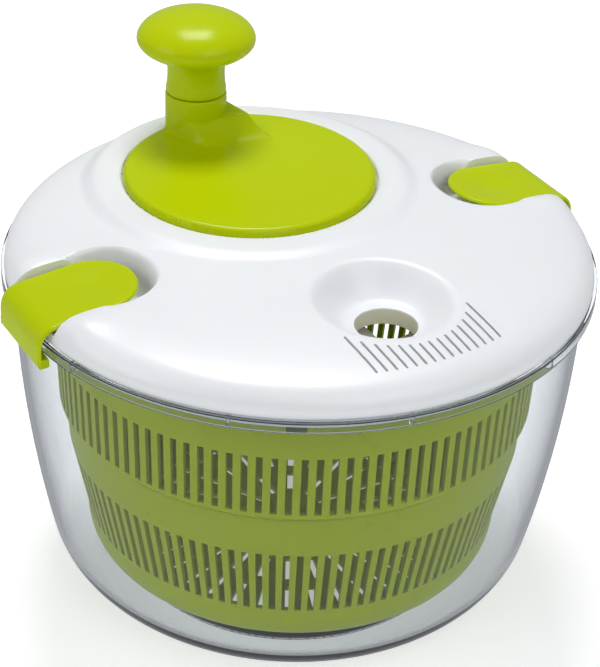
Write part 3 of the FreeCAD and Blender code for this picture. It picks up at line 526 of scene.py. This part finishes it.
class Scatter:
    """Plan points with loops that faces must follow, and no two points too close."""

    def __init__(self):
        self.points = []
        self.edges = []
        self.cells = {}

    def _key(self, x, y):
        return (math.floor(x / 2.0), math.floor(y / 2.0))

    def add(self, x, y, clear=0.0):
        if clear:
            a, b = self._key(x, y)
            reach = math.ceil(clear / 2.0)
            for i in range(a - reach, a + reach + 1):
                for j in range(b - reach, b + reach + 1):
                    for u, v in self.cells.get((i, j), ()):
                        if (u - x) ** 2 + (v - y) ** 2 < clear * clear:
                            return
        self.points.append((x, y))
        self.cells.setdefault(self._key(x, y), []).append((x, y))

    def loop(self, outline):
        first = len(self.points)
        for x, y in outline:
            self.add(x, y)
        count = len(outline)
        self.edges += [(first + i, first + (i + 1) % count) for i in range(count)]

    def ring(self, x, y, radius, step, clear, offset=0.0):
        count = max(8, round(2 * math.pi * radius / step))
        for i in range(count):
            angle = 2 * math.pi * (i + offset) / count
            self.add(x + radius * math.cos(angle), y + radius * math.sin(angle), clear)

    def fill(self, low, high, step, clear):
        row = 0
        y = low[1]
        while y <= high[1]:
            x = low[0] + (step / 2 if row % 2 else 0.0)
            while x <= high[0]:
                self.add(x, y, clear)
                x += step
            y += step * 0.866
            row += 1

    def faces(self, keep):
        flat = [Vector(point) for point in self.points]
        verts, _, faces, _, _, _ = geometry.delaunay_2d_cdt(flat, self.edges, [], 0, 1e-6)
        kept = []
        for face in faces:
            x = sum(verts[i].x for i in face) / 3
            y = sum(verts[i].y for i in face) / 3
            if keep(x, y):
                kept.append(face)
        return verts, kept


def circle(x, y, radius, step):
    count = max(12, round(2 * math.pi * radius / step))
    return [
        (x + radius * math.cos(2 * math.pi * i / count), y + radius * math.sin(2 * math.pi * i / count))
        for i in range(count)
    ]


def everywhere(x, y):
    """Keeps every face of a scatter."""
    return True


def sheet_mesh(name, scatter, keep, lift, wall):
    """A sheet over a plan: 'lift' gives each plan point its place, in mm, and the sheet its wall."""
    verts, faces = scatter.faces(keep)
    mesh = bpy.data.meshes.new(name)
    mesh.from_pydata([Vector(lift(v.x, v.y)) * MM for v in verts], [], faces)
    builder = bmesh.new()
    builder.from_mesh(mesh)
    bmesh.ops.delete(builder, geom=[v for v in builder.verts if not v.link_faces], context="VERTS")
    bmesh.ops.recalc_face_normals(builder, faces=builder.faces)
    if sum(face.normal.z * face.calc_area() for face in builder.faces) < 0:
        bmesh.ops.reverse_faces(builder, faces=builder.faces)
    builder.to_mesh(mesh)
    builder.free()
    thick = bpy.data.objects.new(name, mesh)
    bpy.context.scene.collection.objects.link(thick)
    modifier = thick.modifiers.new("wall", "SOLIDIFY")
    modifier.thickness = wall * MM
    modifier.offset = -1.0
    apply_modifiers(thick)
    mesh = thick.data
    bpy.data.objects.remove(thick)
    return mesh


def apply_modifiers(piece):
    """Replaces the piece's mesh by what its modifiers make of it."""
    graph = bpy.context.evaluated_depsgraph_get()
    piece.data = bpy.data.meshes.new_from_object(piece.evaluated_get(graph))
    piece.modifiers.clear()


def piece_from(name, source, body, slot, nodes=(), crease=32.0):
    """Makes a finished piece of a bmesh or a mesh, riding on a body and standing for nodes."""
    if isinstance(source, bmesh.types.BMesh):
        bmesh.ops.remove_doubles(source, verts=source.verts, dist=1e-7)
        bmesh.ops.recalc_face_normals(source, faces=source.faces)
        mesh = bpy.data.meshes.new(name)
        source.to_mesh(mesh)
        source.free()
    else:
        mesh = source
        mesh.name = name
    mesh.shade_smooth()
    mesh.set_sharp_from_angle(angle=math.radians(crease))
    mesh.materials.clear()
    mesh.materials.append(finish(slot))
    piece = bpy.data.objects.new(name, mesh)
    bpy.context.scene.collection.objects.link(piece)
    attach(piece, body)
    if nodes:
        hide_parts(*nodes)
    return piece


def join_into(builder, mesh):
    builder.from_mesh(mesh)
    bpy.data.meshes.remove(mesh)


# ---------------------------------------------------------------- bowl


RIM_RIBS = 11
RIM_RIB_START = -99.4
RIM_RIB_HALF = 0.6
RIM_RIB_REACH = (120.32, 122.98)
RIM_RIB_LEVELS = (143.5, 147.28)


def bowl_profile():
    """Half section of the bowl, from its foot round the flange and down the inside, in mm."""
    points = [(0, 4), (64, 4), (66.5, 0.6), (68, 0.6), (68, 2.6), (76, 2.6), (76, 0.6), (76.7, 0.6)]
    points += arc(points[-1], (97.27, 8.09), (108.06, 26.52), 14)
    points += arc(points[-1], (117.5, 87.0), (120.3, 143.0), 14)
    points += [(120.3, 147.3), (123, 147.3), (123, 144), (125, 144)]
    points += [(125, 149.7), (117.8, 149.7), (117.8, 143)]
    points += arc(points[-1], (115.0, 87.0), (105.61, 27.0), 14)
    points += arc(points[-1], (98.24, 13.13), (80.7, 7.0), 14)
    points += [(12, 7), (9, 8.8), (4, 8.8), (4, 16.2), (3, 17.2), (0, 17.2)]
    return points


class SPINNER_OT_bowl(bpy.types.Operator):
    """Clear bowl with its rim flange and the soft ring it stands on"""

    bl_idname = "spinner.bowl"
    bl_label = "Bowl"

    def execute(self, context):
        builder = bmesh.new()
        turned(builder, soften(bowl_profile(), 0.6), context.scene.spinner_sizes.turns)
        for index in range(RIM_RIBS):
            angle = math.radians(RIM_RIB_START + 360 * index / RIM_RIBS)
            across = Vector((-math.sin(angle), math.cos(angle))) * RIM_RIB_HALF
            out = Vector((math.cos(angle), math.sin(angle)))
            near, far = RIM_RIB_REACH
            corners = ((near, -1), (far, -1), (far, 1), (near, 1))
            slab(builder, [tuple(out * r + across * s) for r, s in corners], *RIM_RIB_LEVELS)
        piece_from("bowl_shell", builder, "bowl_body", "clear_plastic", ["bowl"])
        dress("anti_slip_ring", "soft_grey")
        return {"FINISHED"}


# ---------------------------------------------------------------- basket


class SPINNER_OT_basket(bpy.types.Operator):
    """Slotted basket and the spoked cover that drives it"""

    bl_idname = "spinner.basket"
    bl_label = "Basket"

    def execute(self, context):
        dress("basket", "basket_plastic")
        dress("basket_cover", "cream_plastic")
        return {"FINISHED"}


# ---------------------------------------------------------------- lid

LID_EDGE = [
    (0, 0, 165.0), (20, 20, 164.9), (40, 40, 164.6), (60, 60, 164.0), (80, 80, 163.2), (95, 95, 162.3),
    (106, 106, 161.3), (112, 112, 160.4), (115.5, 115.5, 159.6), (118.3, 118.2, 158.5),
    (120.6, 120.2, 157.2), (122.8, 121.8, 155.5), (125.0, 122.9, 153.6), (127.0, 123.4, 151.7),
    (128.8, 123.6, 149.95),
]
LID_OUT = LID_EDGE[-1][0]
DISH = (0.0, -66.0)
DISH_RADIUS = 30.0
HOLE = (0.0, -69.0)
HOLE_RADIUS = 12.8
SEAT_RADIUS = DISC_RADIUS + 0.6
SEAT_EDGE = 50.0
LID_THICKNESS = 2.2
SLOT_GAP = 0.75
TONGUE_TIP = 77.5
TONGUE_HALF = 19.3
POCKET_FLOOR = [
    (66.5, 164.0), (68.5, 162.2), (70.5, 158.4), (72.5, 154.2), (74.8, 150.2), (77.2, 147.5),
    (80.0, 147.3), (92.0, 149.1), (104.0, 150.9), (121.5, 153.6), (140.0, 153.6),
]
ROOM = (90.4, 21.5)


def lid_profile(p):
    """Radius and height of the plain crown at a distance p from its middle, along its skin."""
    rows = LID_EDGE
    for i in range(len(rows) - 1):
        if p <= rows[i + 1][0] or i == len(rows) - 2:
            t = (p - rows[i][0]) / (rows[i + 1][0] - rows[i][0])
            before, after = rows[max(i - 1, 0)], rows[min(i + 2, len(rows) - 1)]
            result = []
            for k in (1, 2):
                a, b = rows[i][k], rows[i + 1][k]
                ma = (b - before[k]) / (rows[i + 1][0] - before[0]) * (rows[i + 1][0] - rows[i][0])
                mb = (after[k] - a) / (after[0] - rows[i][0]) * (rows[i + 1][0] - rows[i][0])
                result.append(
                    (2 * t**3 - 3 * t**2 + 1) * a + (t**3 - 2 * t**2 + t) * ma
                    + (3 * t**2 - 2 * t**3) * b + (t**3 - t**2) * mb
                )
            return result
    return rows[-1][1:]


def tongue_gap(x, y, tip, half):
    """Distance inside a tongue's plan, positive inside."""
    x = abs(x)
    if x < tip + half:
        return half - math.hypot(x - tip - half, y)
    return half - abs(y)


def lid_point(px, py):
    """Place of a skin point of the lid, in mm."""
    sizes = bpy.context.scene.spinner_sizes
    p = math.hypot(px, py)
    radius, z = lid_profile(p)
    scale = radius / p if p > 1e-6 else 1.0
    x, y = px * scale, py * scale
    cheek = math.exp(-(((abs(y) - 27.0) / 8.5) ** 2)) * ease(96.0, 114.0, abs(x))
    z += 1.7 * cheek * (1.0 - ease(119.0, 126.0, p))
    rho = math.hypot(x - DISC_X, y - DISC_Y)
    ring_top = RIM + sizes.ring_rise
    edge = sizes.ring_radius
    z += (ring_top - z) * (1.0 - ease(edge, edge + 8.0, rho))
    rounding = SEAT_RADIUS + 1.4 - rho
    if rounding > 0:
        z -= 1.4 - math.sqrt(max(0.0, 1.96 - min(rounding, 1.4) ** 2)) if rho > SEAT_RADIUS else 2.1
    inside = (DISH_RADIUS - math.hypot(x - DISH[0], y - DISH[1])) / 15.5
    if inside > 0:
        inside = min(1.0, inside)
        z -= (z - 152.4) * inside**2 * (3 - 2 * inside)
    floor = along(POCKET_FLOOR, abs(x))
    if floor < z and abs(x) > 60:
        room = ease(0.0, 6.5, ROOM[1] + 1.0 - math.hypot(abs(x) - ROOM[0], y))
        slot = ease(0.0, 0.35, tongue_gap(x, y, TONGUE_TIP + 2, TONGUE_HALF + SLOT_GAP))
        z -= (z - floor) * max(room, slot)
    return (x, y, z)


def vent_outlines(count):
    outlines = []
    half = 0.55
    for index in range(count):
        x = 4.0 * (index - (count - 1) / 2)
        near = DISH[1] - math.sqrt(32.5**2 - x * x)
        far = -math.sqrt(111.0**2 - x * x)
        steps = max(3, round((near - far) / 2.5))
        side = [far + half + (near - far - 2 * half) * i / steps for i in range(steps + 1)]
        outlines.append(
            [(x + half, y) for y in side]
            + [(x, near)]
            + [(x - half, y) for y in reversed(side)]
            + [(x, far)]
        )
    return outlines


def lid_scatter(vents):
    scatter = Scatter()
    scatter.loop(circle(0, 0, LID_OUT, 2.2))
    scatter.loop(circle(DISC_X, DISC_Y, SEAT_EDGE, 2.5))
    scatter.loop(circle(HOLE[0], HOLE[1], HOLE_RADIUS, 1.0))
    for outline in vents:
        scatter.loop(outline)
    for past in (-0.06, 0.02, 0.3, 0.8, 1.5):
        scatter.ring(DISC_X, DISC_Y, SEAT_RADIUS + past, 2.2, 0.05)
    for side in (1, -1):
        for inset in (-0.25, 0.02, 0.2, 0.45):
            half = TONGUE_HALF + SLOT_GAP - inset
            tip = TONGUE_TIP + 2 + inset
            for k in range(49):
                angle = math.pi / 2 + math.pi * k / 48
                scatter.add(side * (tip + half + half * math.cos(angle)), half * math.sin(angle), 0.12)
            x = tip + half + 1.2
            while x < LID_OUT:
                for y in (half, -half):
                    if math.hypot(x, y) < LID_OUT - 0.2:
                        scatter.add(side * x, y, 0.12)
                x += 1.2
        for k in range(14):
            scatter.ring(side * ROOM[0], 0.0, ROOM[1] + 1.6 - k * 0.7, 1.5, 0.55, 0.5 * (k % 2))
    for k, radius in enumerate((31, 30, 29, 28, 26.8, 25.4, 24, 22.5, 21, 19.5, 18, 16.8, 15.6, 14.4, 13.6)):
        scatter.ring(*DISH, radius, 1.7, 0.75, 0.5 * (k % 2))
    for k in range(12):
        scatter.ring(DISC_X, DISC_Y, 64.0 + k, 2.4, 0.85, 0.5 * (k % 2))
    for k in range(14):
        scatter.ring(0, 0, LID_OUT - 1.1 - k * 1.25, 2.4, 0.85, 0.5 * (k % 2))
    scatter.fill((-LID_OUT, -LID_OUT), (LID_OUT, LID_OUT), 3.4, 1.7)
    return scatter


class SPINNER_OT_lid(bpy.types.Operator):
    """Domed lid with its raised ring, clamp pockets, pouring dish, vents, plug and spout"""

    bl_idname = "spinner.lid"
    bl_label = "Lid"

    def execute(self, context):
        vents = vent_outlines(context.scene.spinner_sizes.vent_count)
        spans = [(o[0][0] - 1.1, o[0][0], min(y for _, y in o), max(y for _, y in o)) for o in vents]

        def keep(x, y):
            if math.hypot(x, y) > LID_OUT or math.hypot(x - DISC_X, y - DISC_Y) < SEAT_EDGE:
                return False
            if math.hypot(x - HOLE[0], y - HOLE[1]) < HOLE_RADIUS:
                return False
            for left, right, far, near in spans:
                if left < x < right and far < y < near:
                    end = min(y - far, near - y)
                    if end > 0.55 or abs(x - (left + right) / 2) < end:
                        return False
            return True

        builder = bmesh.new()
        join_into(builder, sheet_mesh("lid_skin", lid_scatter(vents), keep, lid_point, LID_THICKNESS))
        plug = soften([(114.8, 143), (116.8, 143), (116.8, 154.5), (114.8, 155.5)], 0.5)
        turned(builder, plug, context.scene.spinner_sizes.turns)
        piece_from("lid_shell", builder, "lid_body", "white_plastic", ["lid"])
        # The spout is white plastic like the lid. Its cream finish is painted bounce light for the green
        # light that falls on its wall from the basket.
        spout = bmesh.new()
        turned(
            spout,
            soften([(12.75, 145), (14.8, 145), (14.8, 150.6), (12.75, 151.9)], 0.3),
            64,
            HOLE,
        )
        piece_from("lid_spout", spout, "lid_body", "cream_plastic")
        for node, name in (
            ("gear_pan", "white_plastic"),
            ("pinion_bush", "nylon"),
            ("pan_screws", "steel"),
            ("clamp_pin_right", "steel"),
            ("clamp_pin_left", "steel"),
        ):
            dress(node, name)
        return {"FINISHED"}


# ---------------------------------------------------------------- crank, knob

POST = (KNOB_X - DISC_X, KNOB_Y - DISC_Y)
POST_RADIUS = 13.7
DISC_TOP = 168.5
DISC_THICKNESS = 2.3
RAMP_FALL = Vector((-0.1, -0.995)).normalized()
RAMP_SIDE = Vector((0.934, 0.357))


def crank_point(x, y):
    """Place of a point of the crank disc's skin, from the disc's middle, in mm."""
    rho = math.hypot(x, y)
    roll = 2.6
    z = DISC_TOP + 0.5 * (1 - (rho / DISC_RADIUS) ** 2)
    if rho > DISC_RADIUS - roll:
        over = min(1.0, (rho - DISC_RADIUS + roll) / roll)
        z -= roll * (1 - math.sqrt(max(0.0, 1 - over * over)))
    away = Vector((x - POST[0], y - POST[1]))
    ahead = away.dot(RAMP_FALL)
    aside = abs(away.dot(RAMP_SIDE))
    if ahead > -6.0:
        if ahead < 13.0:
            rise = 10.2 - 0.17 * max(0.0, ahead)
        else:
            rise = 8.0 * max(0.0, 1 - (ahead - 13.0) / 12.5) ** 1.7
        rise *= 1 - ease(11.9, 14.6, aside)
        rise *= ease(-6.0, -1.0, ahead) * (1 - ease(DISC_RADIUS - 5.0, DISC_RADIUS - 1.5, rho))
        z += rise
    return (DISC_X + x, DISC_Y + y, z)


class SPINNER_OT_crank(bpy.types.Operator):
    """Crank disc with its ramp and knob post, and the ring gear under it"""

    bl_idname = "spinner.crank"
    bl_label = "Crank"

    def execute(self, context):
        scatter = Scatter()
        scatter.loop(circle(0, 0, DISC_RADIUS, 1.8))
        for k in range(9):
            scatter.ring(0, 0, DISC_RADIUS - 0.12 - 0.36 * k, 1.8, 0.3, 0.5 * (k % 2))
        for k in range(-12, 40):
            for j in range(-24, 25):
                spot = Vector(POST) + RAMP_SIDE * (j * 0.75) + Vector((RAMP_SIDE.y, -RAMP_SIDE.x)) * (k * 1.1)
                if spot.length < DISC_RADIUS - 4 and 9.0 < abs(j * 0.75):
                    scatter.add(spot.x, spot.y, 0.55)
        for k in range(60):
            y = -DISC_RADIUS + k * 2.2 * 0.866
            for j in range(60):
                x = -DISC_RADIUS + (j + 0.5 * (k % 2)) * 2.2
                if math.hypot(x, y) < DISC_RADIUS - 3.6:
                    scatter.add(x, y, 1.2)
        builder = bmesh.new()
        join_into(
            builder,
            sheet_mesh("disc_skin", scatter, everywhere, crank_point, DISC_THICKNESS),
        )
        skirt = soften([(47.5, 161), (49.92, 161), (49.92, 166.3), (47.5, 166.6)], 0.4)
        turned(builder, skirt, 128, (DISC_X, DISC_Y))
        lip = soften([(52.8, 164.3), (55.0, 164.3), (54.99, 166.2), (52.9, 166.4)], 0.3)
        turned(builder, lip, 160, (DISC_X, DISC_Y))
        post = [(0, 168.0), (POST_RADIUS, 168.0), (POST_RADIUS, 184.6)]
        post += arc(post[-1], (POST_RADIUS - 0.28, 185.25), (POST_RADIUS - 0.95, 185.55), 4)
        post += [(4.2, 185.55), (4.2, 184.0), (0, 184.0)]
        turned(builder, post, 96, (KNOB_X, KNOB_Y))
        piece_from("crank_plate", builder, "crank_body", "lime_plastic", ["crank_disc"])
        dress("ring_gear", "nylon")
        for node in ("ring_gear_screws", "knob_spindle", "knob_washer", "knob_screw"):
            dress(node, "steel")
        for node in ("drive_washer", "drive_screw"):
            dress(node, "steel")
        dress("drive_pinion", "nylon")
        return {"FINISHED"}


class SPINNER_OT_knob(bpy.types.Operator):
    """Mushroom knob that turns on the crank's post"""

    bl_idname = "spinner.knob"
    bl_label = "Knob"

    def execute(self, context):
        middle = CAP_LOW[2]
        rise = CAP_HIGH[2] - middle
        drop = 9.6
        profile = [(4.3, 186.1), (12.6, 186.1), (13.25, 186.35), (13.45, 186.9), (13.35, 188.2)]
        profile += [(12.95, 190.5), (12.75, 193.5), (12.75, 196.8)]
        profile += [(12.95, 199.2), (13.5, 201.2), (14.6, 202.9)]
        for k in range(1, 15):
            angle = math.radians(-62 + 62 * k / 14)
            profile.append((KNOB_RADIUS * math.cos(angle), middle + drop * math.sin(angle)))
        for k in range(1, 25):
            angle = math.radians(90 * k / 24)
            reach = KNOB_RADIUS * math.cos(angle) if k < 24 else 0.0
            profile.append((reach, middle + rise * math.sin(angle)))
        profile += [(0, middle + rise - 3.0), (14, middle + 5), (21, middle)]
        profile += [(12, middle - 6), (4.3, middle - 6)]
        builder = bmesh.new()
        turned(builder, profile, 128, (KNOB_X, KNOB_Y))
        piece_from("knob_grip", builder, "knob", "lime_plastic", ["knob_body", "knob_cap"])
        return {"FINISHED"}


# ---------------------------------------------------------------- clamps

STRAP = [
    (0.0, 77.5, 161.25), (12.0, 89.45, 160.15), (24.0, 101.4, 159.0), (36.0, 113.35, 157.85),
    (43.5, 120.8, 157.05), (46.5, 123.6, 156.1), (49.5, 125.9, 154.2), (52.5, 127.3, 151.5),
    (55.5, 127.88, 148.6), (60.0, 127.9, 144.0), (63.6, 127.9, 140.4),
]
STRAP_END = STRAP[-1][0]
STRAP_THICKNESS = 2.5
HOOK = [
    (123.1, 139.8), (123.7, 139.2), (127.0, 139.2), (127.85, 140.2),
    (127.85, 143.3), (123.7, 143.3), (123.1, 142.7),
]
HOOK_HALF = TONGUE_HALF - 0.4


def strap_place(s):
    """Place on the strap's outer face, s mm from the tip."""
    x = along([(row[0], row[1]) for row in STRAP], s)
    z = along([(row[0], row[2]) for row in STRAP], s)
    return x, z


def strap_point(side):
    def lift(s, t):
        sizes = bpy.context.scene.spinner_sizes
        span = 1.5
        x0, z0 = strap_place(max(0.0, s - span))
        x1, z1 = strap_place(min(STRAP_END, s + span))
        x, z = (x0 + x1 + 2 * strap_place(s)[0]) / 4, (z0 + z1 + 2 * strap_place(s)[1]) / 4
        if s < span or s > STRAP_END - span:
            x, z = strap_place(s)
        slope = Vector((x1 - x0, z1 - z0)).normalized()
        normal = Vector((-slope.y, slope.x))
        inside = min(tongue_gap(s, t, 0.0, TONGUE_HALF), STRAP_END - s)
        roll = 1.3
        drop = 0.0
        if inside < roll:
            drop = roll - math.sqrt(max(0.0, roll**2 - (roll - max(0.0, inside)) ** 2))
        dish = 1.0 - math.hypot(s - 17.5, t) / 15.5
        if dish > 0:
            drop += sizes.thumb_dish * dish * dish * (3 - 2 * dish) * 1.4
        x -= normal.x * drop
        z -= normal.y * drop
        return (side * x, side * t, z)

    return lift


def strap_scatter():
    scatter = Scatter()
    outline = []
    for k in range(41):
        angle = math.pi * 1.5 - math.pi * k / 40
        outline.append((TONGUE_HALF + TONGUE_HALF * math.cos(angle), TONGUE_HALF * math.sin(angle)))
    steps = 30
    run = STRAP_END - TONGUE_HALF
    outline += [(TONGUE_HALF + run * k / steps, TONGUE_HALF) for k in range(1, steps + 1)]
    outline += [(STRAP_END, TONGUE_HALF - 2 * TONGUE_HALF * k / 16) for k in range(1, 16)]
    outline += [(TONGUE_HALF + run * k / steps, -TONGUE_HALF) for k in range(steps, 0, -1)]
    scatter.loop(outline)
    for inset in (0.1, 0.3, 0.6, 0.95, 1.4, 2.0):
        half = TONGUE_HALF - inset
        for k in range(41):
            angle = math.pi * 1.5 - math.pi * k / 40
            scatter.add(TONGUE_HALF + half * math.cos(angle), half * math.sin(angle), 0.08)
        for k in range(1, steps + 1):
            s = TONGUE_HALF + (run - inset) * k / steps
            scatter.add(s, half, 0.08)
            scatter.add(s, -half, 0.08)
        for k in range(1, 16):
            scatter.add(STRAP_END - inset, half - 2 * half * k / 16, 0.08)
    for k in range(40):
        s = 1.0 + k * 1.6
        for j in range(-12, 13):
            t = (j + 0.5 * (k % 2)) * 1.6
            if tongue_gap(s, t, 0.0, TONGUE_HALF) > 2.4 and s < STRAP_END - 2.4:
                scatter.add(s, t, 0.9)
    return scatter


class SPINNER_OT_clamps(bpy.types.Operator):
    """Two rocker clamps with a thumb dish, a rolled strap and a hook"""

    bl_idname = "spinner.clamps"
    bl_label = "Clamps"

    def execute(self, context):
        for side, name in ((1, "right"), (-1, "left")):
            builder = bmesh.new()
            place = strap_point(side)
            mesh = sheet_mesh(f"strap_{name}", strap_scatter(), everywhere, place, STRAP_THICKNESS)
            join_into(builder, mesh)
            rows = []
            for y in (-HOOK_HALF, HOOK_HALF):
                rows.append([builder.verts.new((side * x * MM, y * MM, z * MM)) for x, z in HOOK])
            for i in range(len(HOOK)):
                j = (i + 1) % len(HOOK)
                builder.faces.new((rows[0][i], rows[0][j], rows[1][j], rows[1][i]))
            builder.faces.new(rows[0])
            builder.faces.new(rows[1][::-1])
            node = f"clamp_{name}"
            piece_from(f"clamp_strap_{name}", builder, f"{node}_body", "lime_plastic", [node])
        return {"FINISHED"}


# ---------------------------------------------------------------- stage


CAMERA_ROLL = math.radians(2.22)
CAMERA_AIM = math.radians(-2.315)
FLOOR_GLOW = 0.46
FLOOR_HALF = 6


class SPINNER_OT_stage(bpy.types.Operator):
    """Pale floor, soft studio light and the camera"""

    bl_idname = "spinner.stage"
    bl_label = "Stage"

    def execute(self, context):
        scene = context.scene
        stage = scene.spinner_stage
        mesh = bpy.data.meshes.new("floor")
        corners = [(x * FLOOR_HALF, y * FLOOR_HALF, 0) for x, y in ((-1, -1), (1, -1), (1, 1), (-1, 1))]
        mesh.from_pydata(corners, [], [(0, 1, 2, 3)])
        floor = bpy.data.objects.new("floor", mesh)
        scene.collection.objects.link(floor)
        paper = bpy.data.materials.new("pale_paper")
        paper.use_nodes = True
        tree = paper.node_tree
        shader = tree.nodes["Principled BSDF"]
        grain = noise_node(tree, 40.0, 3.0, tree.nodes.new("ShaderNodeTexCoord").outputs["Object"])
        shader.inputs["Base Color"].default_value = (0.93, 0.93, 0.93, 1.0)
        tree.links.new(map_node(tree, grain.outputs["Fac"], 0.3, 0.7, 0.55, 0.65), shader.inputs["Roughness"])
        shader.inputs["Specular IOR Level"].default_value = 0.1
        shader.inputs["Emission Color"].default_value = (1.0, 1.0, 1.0, 1.0)
        shader.inputs["Emission Strength"].default_value = FLOOR_GLOW
        # Painted reflection: glossy rays see the floor as this dim grey glow instead of the pale paper, which
        # darkens the floor in every shiny surface.
        painted_reflection_glow = tree.nodes.new("ShaderNodeEmission")
        painted_reflection_glow.inputs["Color"].default_value = (0.4, 0.41, 0.43, 1.0)
        rays = tree.nodes.new("ShaderNodeLightPath")
        mix = tree.nodes.new("ShaderNodeMixShader")
        tree.links.new(rays.outputs["Glossy Depth"], mix.inputs["Fac"])
        tree.links.new(shader.outputs["BSDF"], mix.inputs[1])
        tree.links.new(painted_reflection_glow.outputs["Emission"], mix.inputs[2])
        tree.links.new(mix.outputs["Shader"], tree.nodes["Material Output"].inputs["Surface"])
        mesh.materials.append(paper)

        world = bpy.data.worlds.new("studio")
        scene.world = world
        world.use_nodes = True
        sky = world.node_tree.nodes["Background"]
        sky.inputs["Color"].default_value = (0.93, 0.96, 1.0, 1.0)
        sky.inputs["Strength"].default_value = 0.26

        target = Vector((0.0, 0.0, RIM * MM))
        for name, place, width, height, power in (
            ("key_softbox", (0.2, 0.49, 1.33), 0.5, 0.42, stage.key),
            ("front_softbox", (0.15, -1.0, 1.1), 1.0, 0.8, stage.key * 0.55),
            ("left_softbox", (-1.3, 0.1, 0.9), 0.8, 0.8, stage.key * 0.45),
        ):
            data = bpy.data.lights.new(name, "AREA")
            data.shape = "RECTANGLE"
            data.size = width
            data.size_y = height
            data.energy = power
            lamp = bpy.data.objects.new(name, data)
            lamp.location = place
            lamp.rotation_mode = "QUATERNION"
            lamp.rotation_quaternion = (target - lamp.location).to_track_quat("-Z", "Y")
            scene.collection.objects.link(lamp)

        data = bpy.data.cameras.new("camera")
        camera = bpy.data.objects.new("camera", data)
        scene.collection.objects.link(camera)
        data.lens = stage.lens
        data.sensor_width = 36.0
        data.clip_start = 0.01
        data.clip_end = 50.0
        flat = stage.distance * math.cos(stage.height)
        camera.location = target + Vector(
            (
                -math.sin(stage.turn) * flat,
                -math.cos(stage.turn) * flat,
                stage.distance * math.sin(stage.height),
            )
        )
        look = (target - camera.location).to_track_quat("-Z", "Y").to_matrix()
        roll = Matrix.Rotation(CAMERA_ROLL, 3, "Z")
        aim = Matrix.Rotation(CAMERA_AIM, 3, "X")
        camera.rotation_mode = "QUATERNION"
        camera.rotation_quaternion = (look @ roll @ aim).to_quaternion()
        scene.camera = camera
        scene.view_settings.view_transform = "Standard"
        return {"FINISHED"}


# ---------------------------------------------------------------- panel and registration

OPERATORS = (
    SPINNER_OT_stage,
    SPINNER_OT_bowl,
    SPINNER_OT_basket,
    SPINNER_OT_lid,
    SPINNER_OT_crank,
    SPINNER_OT_knob,
    SPINNER_OT_clamps,
)


class SPINNER_PT_parts(bpy.types.Panel):
    """Lists the pieces and their settings"""

    bl_idname = "SPINNER_PT_parts"
    bl_label = "Salad spinner"
    bl_space_type = "VIEW_3D"
    bl_region_type = "UI"
    bl_category = "Spinner"

    def draw(self, context):
        for operator in OPERATORS:
            self.layout.operator(operator.bl_idname)
        for name in SETTINGS:
            box = self.layout.box()
            settings = getattr(context.scene, name)
            for field in settings.bl_rna.properties.keys():
                if field not in ("rna_type", "name"):
                    box.prop(settings, field)


def register():
    for name, group in SETTINGS.items():
        bpy.utils.register_class(group)
        setattr(bpy.types.Scene, name, PointerProperty(type=group))
    for operator in OPERATORS:
        bpy.utils.register_class(operator)
    bpy.utils.register_class(SPINNER_PT_parts)


def unregister():
    bpy.utils.unregister_class(SPINNER_PT_parts)
    for operator in reversed(OPERATORS):
        bpy.utils.unregister_class(operator)
    for name, group in reversed(SETTINGS.items()):
        delattr(bpy.types.Scene, name)
        bpy.utils.unregister_class(group)


def main():
    register()
    for operator in OPERATORS:
        group, name = operator.bl_idname.split(".")
        getattr(getattr(bpy.ops, group), name)()


if __name__ == "__main__":
    main()
